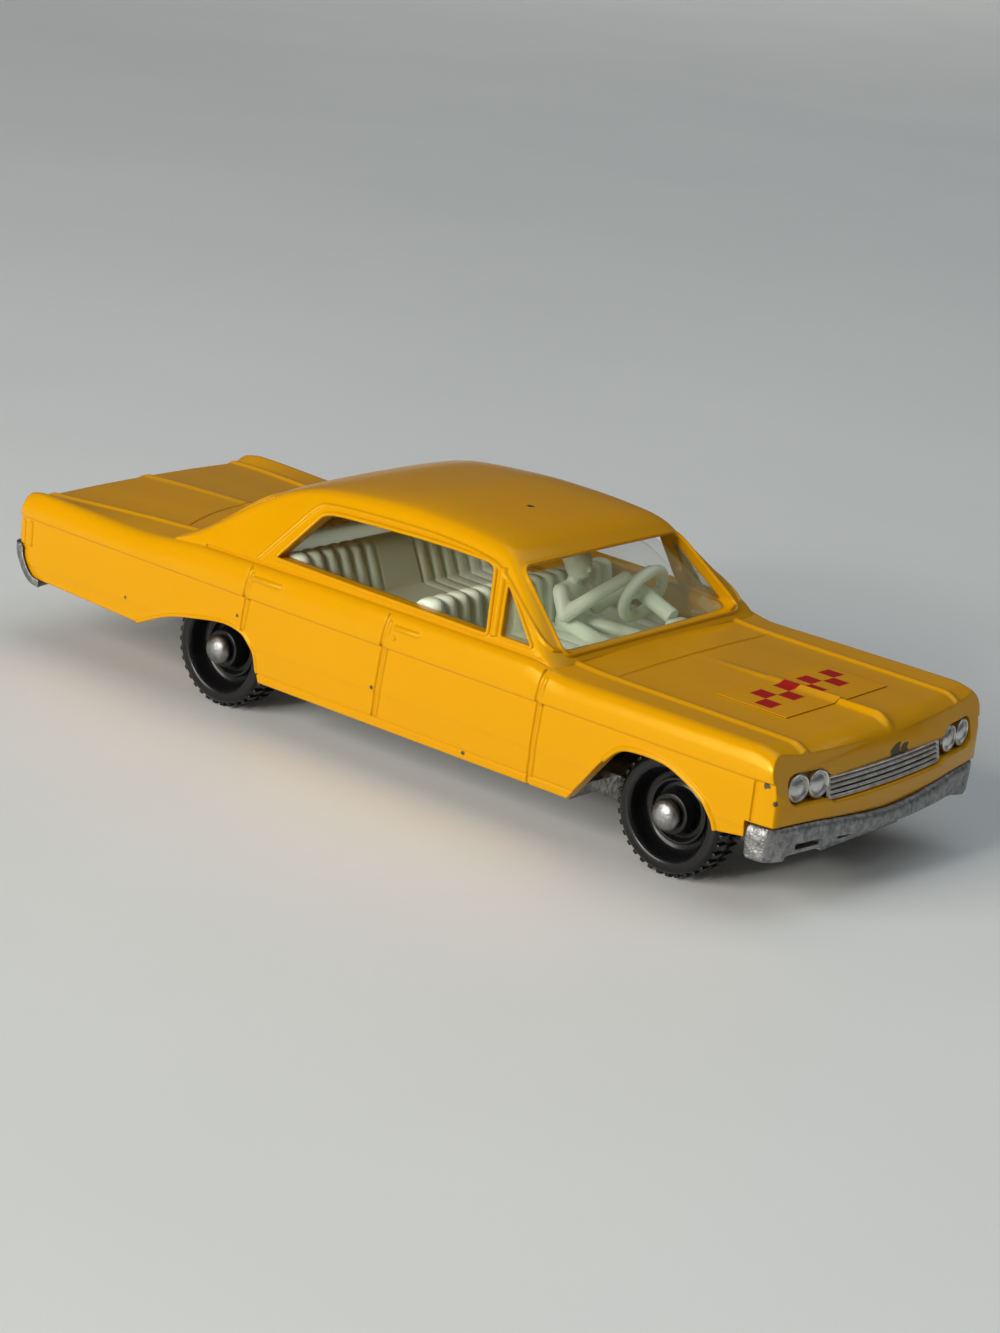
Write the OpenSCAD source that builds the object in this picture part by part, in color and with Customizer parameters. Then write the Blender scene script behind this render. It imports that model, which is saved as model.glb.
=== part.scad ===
// Toy taxi: a die-cast saloon car with free-running wheels and a moulded cabin.
// Lengths are in millimetres. X points to the front, Y to the left and Z up from the ground.

/* [Overall] */
// Length of the painted casting
body_len = 76.4; // [68:0.1:90]
// Width of the casting at its side crease
body_w = 27.4; // [22:0.2:36]
// Wall of the casting
wall_t = 1; // [0.8:0.05:1.4]

/* [Heights] */
// Ground to the lower edge of the doors
sill_z = 3.85; // [3:0.05:5]
// Door edge up to the side crease
side_h = 6.6; // [5:0.1:9]
// Side crease up to the belt line
shoulder_h = 2.75; // [2:0.05:4]
// Belt line up to the crown of the roof
house_h = 7.2; // [5.5:0.1:10]

/* [Cabin] */
// Length of the cabin along the belt line
house_len = 38.5; // [30:0.5:50]
// Front bumper to the foot of the windscreen
house_setback = 21; // [16:0.5:28]
// Width of the cabin at the belt line
house_w = 25.4; // [20:0.2:30]
// Lean of each cabin side, sideways for each unit of height
tumble_share = 0.54; // [0.3:0.02:0.7]
// Sheet of the clear glazing
glaze_t = 0.6; // [0.4:0.05:0.8]

/* [Wheels and axles] */
// Front axle to rear axle
wheelbase = 44.4; // [36:0.2:56]
// Front bumper to the front axle
front_overhang = 10.5; // [8:0.1:14]
// Diameter over the tread lugs
wheel_d = 9.4; // [8:0.1:11]
// Width of one wheel
wheel_w = 3; // [2.4:0.1:4]
// Side crease in to the outer face of the wheel
wheel_inset = 2.2; // [1.8:0.1:3]
// Diameter of the axle wire
axle_d = 1.2; // [0.8:0.05:1.6]
// Diameter of the domed axle head
head_d = 2.4; // [2:0.05:3]
// Height of the domed axle head
head_h = 0.8; // [0.5:0.05:1.2]
// Lugs round each shoulder of the tread
lug_count = 36; // [24:1:48]
// Height of a tread lug
lug_h = 0.22; // [0.1:0.02:0.4]

/* [Base and bumpers] */
// Sheet of the base
base_t = 0.9; // [0.6:0.05:1.4]
// Base below the lower edge of the doors
base_drop = 0.45; // [0.2:0.05:0.8]
// How far both bumpers stand proud of the casting
bumper_stand = 0.35; // [0.2:0.05:0.8]
// How far the nose and the front bumper bow out in the middle; the rear bumper bows half as far
nose_bow = 1.1; // [0:0.05:1.6]
// Height of the front bumper
bumper_h = 2.6; // [1.8:0.1:3.5]
// Ground to the lower edge of the front bumper
bumper_z = 4.45; // [3.5:0.05:5.5]
// Depth of the front bumper bar
bumper_t = 1.5; // [1:0.1:2.2]
// Sheet of the rear bumper band
band_t = 0.6; // [0.4:0.05:1]
// Height of the rear bumper band
band_h = 3.3; // [2.4:0.1:4]
// Ground to the lower edge of the rear bumper band
band_z = 5; // [4:0.1:6]
// Turn of the rear bumper band under the tail
band_d = 2.9; // [2:0.1:4]
// Diameter of a headlamp
lamp_d = 2.1; // [1.6:0.05:2.6]
// Height of the grille
grille_h = 1.7; // [1.2:0.05:2.2]
// Number of grille bars
bar_count = 4; // [3:1:6]

/* [Cabin fittings] */
// Sheet of the cabin moulding
tub_t = 0.8; // [0.6:0.05:1.2]
// Height of a seat cushion above the floor
cushion_h = 2.2; // [1.6:0.1:3]
// Height of a seat back above its cushion
back_h = 4; // [3:0.1:5]
// Thickness of a seat back
back_t = 1.7; // [1.2:0.1:2.4]
// Rolls across each half of a bench
roll_count = 7; // [4:1:10]
// Diameter of the steering ring
ring_d = 5; // [3.8:0.1:5.4]
// Diameter of the steering ring's rim
rim_d = 0.75; // [0.4:0.05:0.9]
// Height of the driver from the cushion to the crown
driver_h = 6.9; // [5.5:0.1:7.4]
// Height of the driver's head
driver_head_d = 2.7; // [2:0.1:3.2]
// Thickness of the driver's limbs
limb_d = 1.2; // [0.8:0.05:1.4]

/* [Small parts] */
// Length of the hood label along the car
label_len = 5.6; // [4:0.1:8]
// Width of the hood label
label_w = 12.9; // [8:0.1:16]
// Sheet of the hood label
label_t = 0.06; // [0.04:0.01:0.12]
// Diameter of a base rivet's shank
rivet_d = 1.6; // [1.2:0.1:2]
// Diameter of a base rivet's head
rivet_head_d = 2.8; // [2.2:0.1:3.6]
// Height of a base rivet's head
rivet_head_h = 0.4; // [0.3:0.05:0.5]

/* [Clearances] */
// Radial gap between the axle wire and what turns on it
run_gap = 0.05; // [0.02:0.01:0.1]
// Side gap between pieces that turn past each other
side_gap = 0.3; // [0.2:0.05:0.5]
// Gap between assembled pieces that do not move
fit_gap = 0.08; // [0.05:0.01:0.15]

/* [Hidden] */
$fn = 48;
// Overrun of every cut past the face that it opens
over = 0.5;
// Station, share of the half width
plan_shares = [[-1, 0.972], [-0.975, 0.987], [-0.93, 0.996], [-0.7, 1], [0.75, 1], [0.92, 0.998],
    [0.97, 0.99], [1, 0.975]];
// Station, share of the side crease's height
line_shares = [[-1, 1.025], [0, 1], [1, 0.995]];
// Station, share of the belt height: shoulder, deck at its raised lines, deck on the centre line
edge_shares = [[-1, 0.935], [-0.97, 0.958], [-0.94, 0.97], [-0.66, 0.946], [-0.45, 0.99], [0, 1],
    [0.4, 0.996], [0.5, 0.952], [0.68, 0.955], [0.93, 0.955], [0.97, 0.937], [1, 0.89]];
deck_shares = [[-1, 0.88], [-0.965, 0.935], [-0.65, 0.966], [-0.5, 0.985], [0, 0.99], [0.42, 0.985],
    [0.53, 0.968], [0.95, 0.955], [0.975, 0.925], [1, 0.87]];
mid_shares = [[-1, 0.905], [-0.96, 0.95], [-0.65, 0.982], [-0.5, 0.99], [0, 0.99], [0.44, 0.985],
    [0.53, 0.968], [0.6, 0.97], [0.94, 0.986], [0.965, 0.955], [1, 0.8]];
// Station, share of the half width at the raised lines
crease_shares = [[-1, 0.78], [-0.93, 0.77], [-0.63, 0.67], [0.4, 0.72], [1, 0.72]];
// Station, height of the middle ridge as a share of the raised lines' height
ridge_shares = [[-1, 0.9], [-0.66, 0.6], [-0.6, 0.1], [0.55, 0.1], [0.9, 2.2], [0.95, 2.4], [0.98, 0.4]];
station_shares = [-1.02, -1, -0.985, -0.96, -0.9, -0.78, -0.66, -0.57, -0.45, -0.2, 0.1, 0.4, 0.47, 0.53,
    0.6, 0.7, 0.8, 0.9, 0.95, 0.972, 0.987, 1, 1.02];
// Plan of nose and tail: share of the half width, share of the half length
bow_shares = [[1, 0.962], [0.99, 0.979], [0.97, 0.9915], [0.93, 0.998], [0.88, 1], [0.6, 0.9985]];

// Place along the cabin, share of its height: roof edge and pillars, roof on the centre line
rail_shares = [[0, -0.05], [0.085, 0.125], [0.164, 0.37], [0.223, 0.61], [0.273, 0.73], [0.35, 0.785],
    [0.47, 0.806], [0.63, 0.8], [0.757, 0.745], [0.79, 0.725], [0.82, 0.645], [0.904, 0.31], [0.977, -0.02],
    [1, -0.1]];
crown_shares = [[0, 0], [0.026, 0.06], [0.182, 0.66], [0.266, 0.82], [0.333, 0.895], [0.44, 0.96],
    [0.547, 1], [0.65, 0.99], [0.757, 0.945], [0.805, 0.88], [0.834, 0.77], [0.997, -0.02], [1, -0.04]];
cabin_shares = [0, 0.026, 0.085, 0.125, 0.164, 0.223, 0.273, 0.333, 0.4, 0.47, 0.547, 0.63, 0.7,
    0.757, 0.79, 0.82, 0.86, 0.904, 0.95, 0.977, 1];
// Roof section: share of the half width, share of the rise from roof edge to crown
turn_shares = [[1, 0], [0.965, 0.4], [0.88, 0.72], [0.62, 0.91], [0.3, 0.98], [0, 1]];
// Window outlines: share of the cabin's length, share of its height
side_window_shares = [[0.268, 0.087], [0.545, 0.066], [0.833, 0.05], [0.775, 0.705], [0.684, 0.711],
    [0.591, 0.707], [0.475, 0.686], [0.348, 0.652]];
vent_window_shares = [[0.858, 0.07], [0.938, 0.07], [0.852, 0.46], [0.836, 0.53], [0.826, 0.55]];
// Screen outlines: share of the cabin's half width, share of its height
windscreen_shares = [[0.825, 0.015], [0.855, 0.065], [0.755, 0.675], [0.71, 0.725], [0, 0.745]];
rear_screen_shares = [[0.76, 0.1], [0.79, 0.15], [0.71, 0.5], [0.66, 0.56], [0, 0.58]];
// Wheel arches: place from the wheel centre and height, as shares of the wheel radius
front_arch_shares = [[-1.02, 1.65], [-0.78, 1.88], [-0.5, 1.97], [0.08, 1.965], [0.5, 1.82], [0.87, 1.6],
    [1.06, 1.36], [1.13, 1.19]];
rear_arch_shares = [[-1.62, 1.105], [-0.87, 1.425], [-0.17, 1.58], [0.4, 1.66], [0.79, 1.61], [0.98, 1.49],
    [1.13, 1.29], [1.2, 0.98]];
arch_foot_shares = [1.23, -1.66];
// Lower edge between front wheel and bumper, as shares of the ledge height
valance_share = 0.83;
// Rear bumper band: turn under the tail and height as shares, and the way it faces
band_shares = [[0, 1], [0.04, 0.7], [0.3, 0.3], [0.6, 0.07], [1, 0]];
band_turn_shares = [[1, 0], [0.97, 0.25], [0.8, 0.6], [0.45, 0.9], [0, 1]];
// Headlamps: place across and height, as shares of half width and belt height
lamp_shares = [0.775, 0.62];
lamp_z_share = 0.725;
grille_w_share = 0.56;
grille_z_share = 0.676;

// Cabin moulding: ends along the cabin, top of dashboard and shelf, seats and steering ring
tub_shares = [0.035, 0.975];
dash_share = 0.98;
seat_share = 0.61;
ring_x_share = 0.825;
// Places along the cabin that the glazing runs over
glaze_shares = [0.03, 0.085, 0.125, 0.164, 0.223, 0.273, 0.333, 0.4, 0.47, 0.547, 0.63, 0.7,
    0.757, 0.79, 0.82, 0.86, 0.904, 0.95, 0.97];

// Ends of the casting, and of the whole part, from the middle
half_body = body_len / 2;
half_all = half_body + bumper_stand;
half_w = body_w / 2;
// Heights that the casting is drawn from
line_z = sill_z + side_h;
belt_z = line_z + shoulder_h;
roof_z = belt_z + house_h;
// Cabin ends along the belt line
house_x1 = half_all - house_setback;
house_x0 = house_x1 - house_len;
// Wheels and axles
wheel_r = wheel_d / 2;
front_x = half_all - front_overhang;
rear_x = front_x - wheelbase;
wheel_out = half_w - wheel_inset;
wheel_in = wheel_out - wheel_w;
axle_r = axle_d / 2;
bore_r = axle_r + run_gap;
head_r = head_d / 2;
hub_r = head_r + side_gap;
// Depth of the step under the side crease, and the tuck of the sills
step_in = 0.3;
sill_tuck = 0.6;
cavity_in = sill_tuck + wall_t;
// Height of the raised lines on hood and trunk, and their half width
crease_h = 0.16;
crease_w = 0.4;
// Turn of the shoulder into the deck
shoulder_r = 0.9;
// Nose wall that the grille and lamps sit in, and the ledge over the bumper
nose_t = 1.8;
// Top of nose and tail set back from their widest part
end_rake = 1;
ledge_z = bumper_z + bumper_h + fit_gap;
// Base plate
base_z = sill_z - base_drop;
base_top = base_z + base_t;
base_wide = half_w - cavity_in - fit_gap;
base_slim = wheel_in - side_gap;
cavity_x0 = -half_body + band_d + wall_t + wall_t - fit_gap;
base_x1 = half_body - nose_t - nose_t / 3 - fit_gap;
wheel_room = wheel_r + side_gap + side_gap;
bearing_w = 2;
bearing_y = base_slim - bearing_w / 2;
bearing_l = 3.4;
// Front bumper's inner face, the ends that turn back, and the bracket that carries it
bumper_in_x = half_all - bumper_t;
bumper_end_x = half_body - nose_t - nose_t / 3 + fit_gap;
bracket_w = 10;
// Cabin moulding
floor_z = line_z - side_h / 2;
floor_top = floor_z + tub_t;
tub_wide = half_w - cavity_in - fit_gap;
seat_z = floor_top + cushion_h;
// Cabin moulding along the car: rear wall, dashboard and the rear faces of the benches
tub_x0 = rear_x + wheel_room;
tub_x1 = house_x(tub_shares[1]);
dash_l = 2.2;
dash_x = tub_x1 - dash_l;
dash_z = belt_z * dash_share - wall_t - fit_gap;
seat_front_x = house_x(seat_share);
seat_rear_x = tub_x0 + tub_t + fit_gap;
// Steering ring
ring_x = house_x(ring_x_share);
ring_z = seat_z + ring_d / 2 + limb_d;
column_lean = 70;
column_l = (dash_x - ring_x - rim_d * cos(column_lean) - fit_gap) / sin(column_lean);
// Rivets and the posts that they go into
post_r = rivet_d;
rivet_front_x = (front_x + house_x1) / 2;
rivet_rear_x = house_x0 - post_r - nose_t - nose_t;
rivet_len = line_z - base_z - wall_t - wall_t;
base_x0 = min(cavity_x0 + fit_gap, rivet_rear_x - rivet_head_d);

function body_x(s) = s * half_body;
function house_x(t) = house_x0 + t * house_len;
function house_z(u) = belt_z + u * house_h;
function house_y(z) = min(house_w / 2 - tumble_share * (z - belt_z), house_w / 2);
function mid_z(s) = belt_z * lookup(s, mid_shares);
function beside_z(s) = mid_z(s) - crease_h * lookup(s, ridge_shares);

// Half of the casting's section, from the sill to the centre line
function half_section(s) = let (
        w = half_w * lookup(s, plan_shares),
        l = line_z * lookup(s, line_shares),
        e = belt_z * lookup(s, edge_shares),
        d = belt_z * lookup(s, deck_shares),
        r = half_w * lookup(s, crease_shares))
    [[w - sill_tuck, sill_z - over],
        [w - sill_tuck, sill_z],
        [w - step_in, sill_z + side_h / 2],
        [w - step_in, l - step_in],
        [w, l],
        [w - step_in / 2, (l + e) / 2],
        [w - shoulder_r / 2, e - shoulder_r / 3],
        [w - shoulder_r, e],
        [r + crease_w, d - crease_h],
        [r, d],
        [r - crease_w, d - crease_h],
        [r / 2, (d - crease_h + beside_z(s)) / 2 + crease_h / 3],
        [crease_w, beside_z(s)],
        [0, mid_z(s)]];

// Half of the section of the space inside the casting
function half_cavity(s) = let (
        w = half_w * lookup(s, plan_shares) - cavity_in,
        e = belt_z * min(lookup(s, edge_shares), lookup(s, deck_shares)) - crease_h - wall_t)
    [[w, sill_z - over - over],
        [w, e - wall_t],
        [w - wall_t, e],
        [0, min(e, beside_z(s) - wall_t)]];

// Half of the cabin's roof line at a place along it, drawn in by a wall
function half_roof(t, inset) = let (
        rail = house_z(lookup(t, rail_shares)),
        crown = house_z(lookup(t, crown_shares)),
        y = house_y(rail) - inset * (1 + tumble_share / 3))
    [for (p = turn_shares) [y * p[0], rail - inset + p[1] * (crown - rail)]];

// Half of the cabin's section with its sides
function half_house(t, inset) = let (
        roof = half_roof(t, inset),
        y = house_w / 2 - inset * (1 + tumble_share / 3),
        z = min(belt_z, roof[0][1] - wall_t / 2))
    concat([[y, line_z], [y, z]], roof);

// Half of the section of the clear glazing, which follows the roof inside
function half_glaze(t) = let (
        top = half_roof(t, wall_t + fit_gap),
        low = half_roof(t, wall_t + fit_gap + glaze_t))
    concat([for (i = [1:len(top) - 1]) top[i]], [for (i = [len(low) - 1:-1:1]) low[i]]);

// Mirrors a half section into a closed ring at a place along X
function ring(x, half) = let (n = len(half))
    concat([for (p = half) [x, -p[0], p[1]]], [for (i = [n - 2:-1:0]) [x, half[i][0], half[i][1]]]);

// Mirrors a half band, outer and inner line, into a closed ring
function ring_of(x, half) = let (n = len(half) / 2)
    concat([for (i = [0:n - 1]) [x, -half[i][0], half[i][1]]],
        [for (i = [n - 2:-1:0]) [x, half[i][0], half[i][1]]],
        [for (i = [2 * n - 1:-1:n]) [x, half[i][0], half[i][1]]],
        [for (i = [n + 1:2 * n - 1]) [x, -half[i][0], half[i][1]]]);

// Point of the rear bumper band, moved in from its outer face
function band_point(i, inset) = [
    -half_all + band_d * band_shares[i][0] + inset * band_turn_shares[i][0],
    band_z + band_h * band_shares[i][1] + inset * band_turn_shares[i][1]];

// Skin over a list of rings with the same number of points; the ends of a band are closed strip by strip
module loft(rings, band) {
    n = len(rings[0]);
    m = len(rings);
    ends = band ? [for (j = [0:n / 2 - 2]) [j, j + 1, n - 2 - j, n - 1 - j]] : [[for (j = [0:n - 1]) j]];
    polyhedron(
        points = [for (r = rings) each r],
        faces = concat(
            [for (f = ends) [for (k = [len(f) - 1:-1:0]) f[k]]],
            [for (f = ends) [for (k = f) (m - 1) * n + k]],
            [for (i = [0:m - 2], j = [0:n - 1])
                let (a = i * n + j, b = i * n + (j + 1) % n)
                each [[a, b, b + n], [a, b + n, a + n]]]));
}

// Prism across the car on an outline in X and Z
module across(outline, width) {
    rotate([90, 0, 0]) linear_extrude(height = width, center = true) polygon(outline);
}

// Prism along the car on a half outline in Y and Z, mirrored
module along(half, x0, x1) {
    n = len(half);
    translate([x0, 0, 0]) rotate([90, 0, 90]) linear_extrude(height = x1 - x0)
        polygon(concat(half, [for (i = [n - 1:-1:0]) [-half[i][0], half[i][1]]]));
}

module casting_skin() {
    loft([for (s = station_shares) ring(body_x(s), half_section(s))], false);
}

// Side outline of the casting with both wheel arches
module side_block() {
    n = len(band_shares);
    across(concat(
            [for (i = [0:n - 1]) band_point(i, band_t + fit_gap)],
            [for (p = rear_arch_shares) [rear_x + p[0] * wheel_r, p[1] * wheel_r]],
            [[rear_x + arch_foot_shares[0] * wheel_r, sill_z],
                [front_x + arch_foot_shares[1] * wheel_r, sill_z]],
            [for (p = front_arch_shares) [front_x + p[0] * wheel_r, p[1] * wheel_r]],
            [[half_body - nose_t - nose_t / 3, ledge_z * valance_share],
                [half_body - nose_t - nose_t / 3, ledge_z],
                [half_body - fit_gap, ledge_z],
                [half_body + fit_gap, ledge_z + wall_t],
                [half_body - end_rake, belt_z],
                [half_body - end_rake, roof_z],
                [end_rake - half_body, roof_z],
                [end_rake - half_body, belt_z],
                [-half_body - fit_gap, band_z + band_h + wall_t],
                [band_point(0, band_t + fit_gap)[0], band_z + band_h + fit_gap]]),
        body_w + over);
}

// The bowed middle of the nose, through rows of points from the ledge up to the hood
bow_share = 0.9;
row_shares = [0, 0.25, 0.5, 0.7, 0.87];
hood_edge_shares = [[0.988, 0.8], [0.962, 0.935]];

tail_bow_share = 0.5;

function bow_at(y) = nose_bow * max(0, 1 - pow(y / (half_w * bow_share), 2));

// Places across the car, from right to left, for a list of shares that starts in the middle
function places(shares) = let (n = len(shares))
    [for (s = concat([for (i = [n - 1:-1:1]) -shares[i]], shares)) s * half_w];

module nose_bulge() {
    rows = concat([[half_body - fit_gap, ledge_z + fit_gap], [half_body + fit_gap, ledge_z + wall_t]],
        [for (p = hood_edge_shares) [p[0] * half_body, p[1] * belt_z]]);
    loft([for (y = places(row_shares)) concat(
            [for (r = rows) [r[0] + bow_at(y) - fit_gap - fit_gap, y, r[1]]],
            [for (r = [rows[3], rows[0]]) [half_body - nose_t - over, y, r[1]]])], false);
}

// Plan outline of the casting with its bowed nose and tail
module plan_block() {
    n = len(bow_shares);
    half = [for (p = bow_shares) [p[1] * half_body, p[0] * half_w]];
    back = [for (i = [n - 1:-1:0]) [half[i][0], -half[i][1]]];
    front = concat(half, back);
    linear_extrude(height = roof_z) polygon(concat(front, [for (p = front) [-p[0], -p[1]]]));
}

module cavity_block() {
    intersection() {
        loft([for (s = station_shares) ring(body_x(s), half_cavity(s))], false);
        across([[cavity_x0, 0],
                [-half_body + wall_t + band_t, band_z + band_h],
                [-half_body + wall_t + band_t, roof_z],
                [half_body - nose_t, roof_z],
                [half_body - nose_t, 0]],
            body_w + over);
    }
}

module house_block(inset) {
    loft([for (t = cabin_shares) ring(house_x(t), half_house(t, inset))], false);
}

// Places along the cabin that the two screen openings are cut back to
screen_shares = [0.24, 0.78];

module window_cuts() {
    across([for (p = side_window_shares) [house_x(p[0]), house_z(p[1])]], body_w);
    across([for (p = vent_window_shares) [house_x(p[0]), house_z(p[1])]], body_w);
    along([for (p = windscreen_shares) [p[0] * house_w / 2, house_z(p[1])]],
        house_x(screen_shares[1]), house_x1 + over);
    along([for (p = rear_screen_shares) [p[0] * house_w / 2, house_z(p[1])]],
        house_x0 - over, house_x(screen_shares[0]));
}

// Places of the lamps across the nose
lamp_places = [for (s = lamp_shares) each [s * half_w, -s * half_w]];

module nose_cuts() {
    w = half_w * grille_w_share + fit_gap;
    h = grille_h / 2 + fit_gap;
    translate([half_body - nose_t - over, -w, belt_z * grille_z_share - h])
        cube([nose_t + nose_bow + over + over, w + w, h + h]);
    for (y = lamp_places)
        translate([half_body - nose_t - over, y, belt_z * lamp_z_share])
            rotate([0, 90, 0])
                cylinder(d = lamp_d + fit_gap + fit_gap, h = nose_t + nose_bow + over + over);
}

// Door handles and the upright strips on the tail, as soft raised bars
handle_l = 2.4;
handle_h = 0.5;
handle_z_share = 0.55;
handle_x_shares = [0.245, 0.615];
strip_shares = [0.955, 0.98];

module raised_bars() {
    z = line_z + shoulder_h * handle_z_share;
    for (side = [-1, 1]) {
        for (t = handle_x_shares)
            hull() for (x = [house_x(t), house_x(t) + handle_l])
                translate([x, side * (half_w - step_in), z]) sphere(d = handle_h, $fn = 12);
        for (s = strip_shares) {
            w = half_w * lookup(-s, plan_shares);
            hull() {
                translate([-s * half_body, side * (w - step_in), line_z]) sphere(d = handle_h, $fn = 12);
                translate([-s * half_body, side * (w - step_in - step_in), line_z - side_h / 3])
                    sphere(d = handle_h, $fn = 12);
            }
        }
    }
}

// Plain round tail lamp bosses in a shallow panel
tail_d = 1.8;
tail_t = 0.4;
tail_lamp_shares = [0.7, 0.5];

module tail_panel() {
    z = (band_z + band_h + belt_z) / 2;
    difference() {
        translate([-half_body - over, -half_w * crease_shares[0][1], z - tail_d / 2 - tail_t])
            cube([tail_t + over, body_w * crease_shares[0][1], tail_d + tail_t + tail_t]);
        for (s = tail_lamp_shares, side = [-1, 1])
            translate([-half_body, side * s * half_w, z])
                rotate([0, 90, 0]) cylinder(d = tail_d, h = wall_t);
    }
}

module rivet_posts() {
    for (x = [rivet_front_x, rivet_rear_x])
        translate([x, 0, base_top + fit_gap]) difference() {
            cylinder(r = post_r, h = beside_z(x / half_body) - wall_t / 2 - base_top);
            translate([0, 0, -over]) cylinder(d = rivet_d + fit_gap, h = rivet_len + over);
        }
}

module body_shell() {
    color([0.93, 0.6, 0.05]) union() {
        difference() {
            union() {
                intersection() {
                    casting_skin();
                    side_block();
                    plan_block();
                }
                nose_bulge();
                house_block(0);
                raised_bars();
            }
            cavity_block();
            house_block(wall_t);
            window_cuts();
            nose_cuts();
            tail_panel();
        }
        rivet_posts();
    }
}

// Half outline of the base, from tail to nose
module base_sheet() {
    half = [[base_x0, base_slim],
        [rear_x + wheel_room, base_slim],
        [rear_x + wheel_room, base_wide],
        [ledge_x, base_wide],
        [ledge_x, base_slim],
        [base_x1, base_slim]];
    n = len(half);
    translate([0, 0, base_z]) linear_extrude(height = base_t)
        polygon(concat(half, [for (i = [n - 1:-1:0]) [half[i][0], -half[i][1]]]));
}

// Ribs that carry the cabin floor, and the ledges that show behind the front wheels
rib_t = 1.2;
ledge_l = 3;
ledge_h = 1.9;
ledge_x = front_x - wheel_room - ledge_l;
ledge_w = (base_wide - base_slim) * 2 / 3;
ledge_y = base_slim - over + ledge_w / 2;

module base_plate() {
    color([0.55, 0.55, 0.56]) difference() {
        union() {
            base_sheet();
            for (side = [-1, 1]) {
                for (x = [front_x, rear_x])
                    translate([x - bearing_l / 2, side * bearing_y - bearing_w / 2, base_z])
                        cube([bearing_l, bearing_w, wheel_r + bearing_l / 2 - base_z]);
                translate([ledge_x - over, side * ledge_y - ledge_w / 2, base_z + base_t / 2])
                    cube([ledge_l + over, ledge_w, ledge_h]);
            }
            for (x = [seat_rear_x, seat_front_x])
                translate([x, -base_slim / 2, base_z]) cube([rib_t, base_slim, floor_z - base_z]);
            translate([base_x1 - over, -bracket_w / 2, base_z])
                cube([bumper_in_x - base_x1 + over, bracket_w, bumper_z + bumper_h / 2 - base_z]);
        }
        for (x = [front_x, rear_x]) translate([x, 0, wheel_r]) rotate([90, 0, 0]) {
            cylinder(r = bore_r, h = body_w, center = true);
            cylinder(r = axle_r + side_gap, h = 2 * (base_slim - bearing_w), center = true);
        }
        for (x = [rivet_front_x, rivet_rear_x]) translate([x, 0, base_z - over]) {
            cylinder(d = rivet_d + fit_gap, h = base_t + over + over);
            cylinder(d = rivet_head_d + fit_gap, h = over + rivet_head_h + fit_gap);
        }
    }
}

module rivets() {
    color([0.7, 0.7, 0.72]) for (x = [rivet_front_x, rivet_rear_x]) translate([x, 0, base_z + fit_gap]) {
        cylinder(d = rivet_head_d, h = rivet_head_h);
        cylinder(d = rivet_d, h = rivet_len - fit_gap);
    }
}

// Front bumper: a bar bowed in plan whose ends turn back round the wings
bumper_shares = [[0, 1], [0.3, 0.9995], [0.6, 0.998], [0.83, 0.995], [0.92, 0.99], [0.965, 0.98],
    [0.98, 0.965], [0.98, 0.95]];
bumper_step = 0.3;
slot_l = 2.6;
slot_h = 0.5;
slot_share = 0.5;

module bumper_bar(z0, z1, inset) {
    n = len(bumper_shares);
    outer = [for (p = bumper_shares)
        [p[1] * half_all - inset + bow_at(p[0] * half_w), p[0] * half_w - inset]];
    inner = [[bumper_end_x, bumper_shares[n - 1][0] * half_w - bumper_t * 2 / 3],
        [bumper_in_x, base_slim],
        [bumper_in_x, 0]];
    half = concat(outer, [[bumper_end_x, outer[n - 1][1]]], inner);
    m = len(half);
    translate([0, 0, z0]) linear_extrude(height = z1 - z0)
        polygon(concat(half, [for (i = [m - 2:-1:1]) [half[i][0], -half[i][1]]]));
}

module front_bumper() {
    step_z = bumper_z + bumper_h * slot_share;
    slot_z = step_z - slot_h - bumper_step;
    color([0.62, 0.62, 0.63]) difference() {
        union() {
            bumper_bar(bumper_z, step_z, bumper_step);
            bumper_bar(step_z, bumper_z + bumper_h, 0);
        }
        for (side = [-1, 1])
            translate([bumper_in_x - over, side * half_w * slot_share - slot_l / 2, slot_z])
                cube([bumper_t + nose_bow + over + over, slot_l, slot_h]);
    }
}

// Rear bumper: a band across the tail, straight inside and bowed outside
module rear_bumper() {
    n = len(band_shares);
    color([0.45, 0.45, 0.46])
        loft([for (y = places(concat(row_shares, [bow_share, plan_shares[1][1]]))) concat(
                [for (i = [0:n - 1]) let (p = band_point(i, 0))
                    [p[0] - bow_at(y) * tail_bow_share * (1 - band_shares[i][0]), y, p[1]]],
                [for (i = [n - 1:-1:0]) let (p = band_point(i, band_t)) [p[0], y, p[1]]])], true);
}

// Grille and headlamps on one plate behind the nose
plate_t = 0.8;
bar_gap_share = 0.45;
lamp_set = 0.3;

// A bar across the nose that bows with it, from the plate to its face
module bowed_bar(x, face, w, h) {
    steps = [for (s = row_shares) s / row_shares[len(row_shares) - 1] * w];
    half = [for (y = steps) [face + bow_at(y), y]];
    n = len(half);
    linear_extrude(height = h)
        polygon(concat([[x, -w]], [for (i = [n - 1:-1:1]) [half[i][0], -half[i][1]]], half, [[x, w]]));
}

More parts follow.
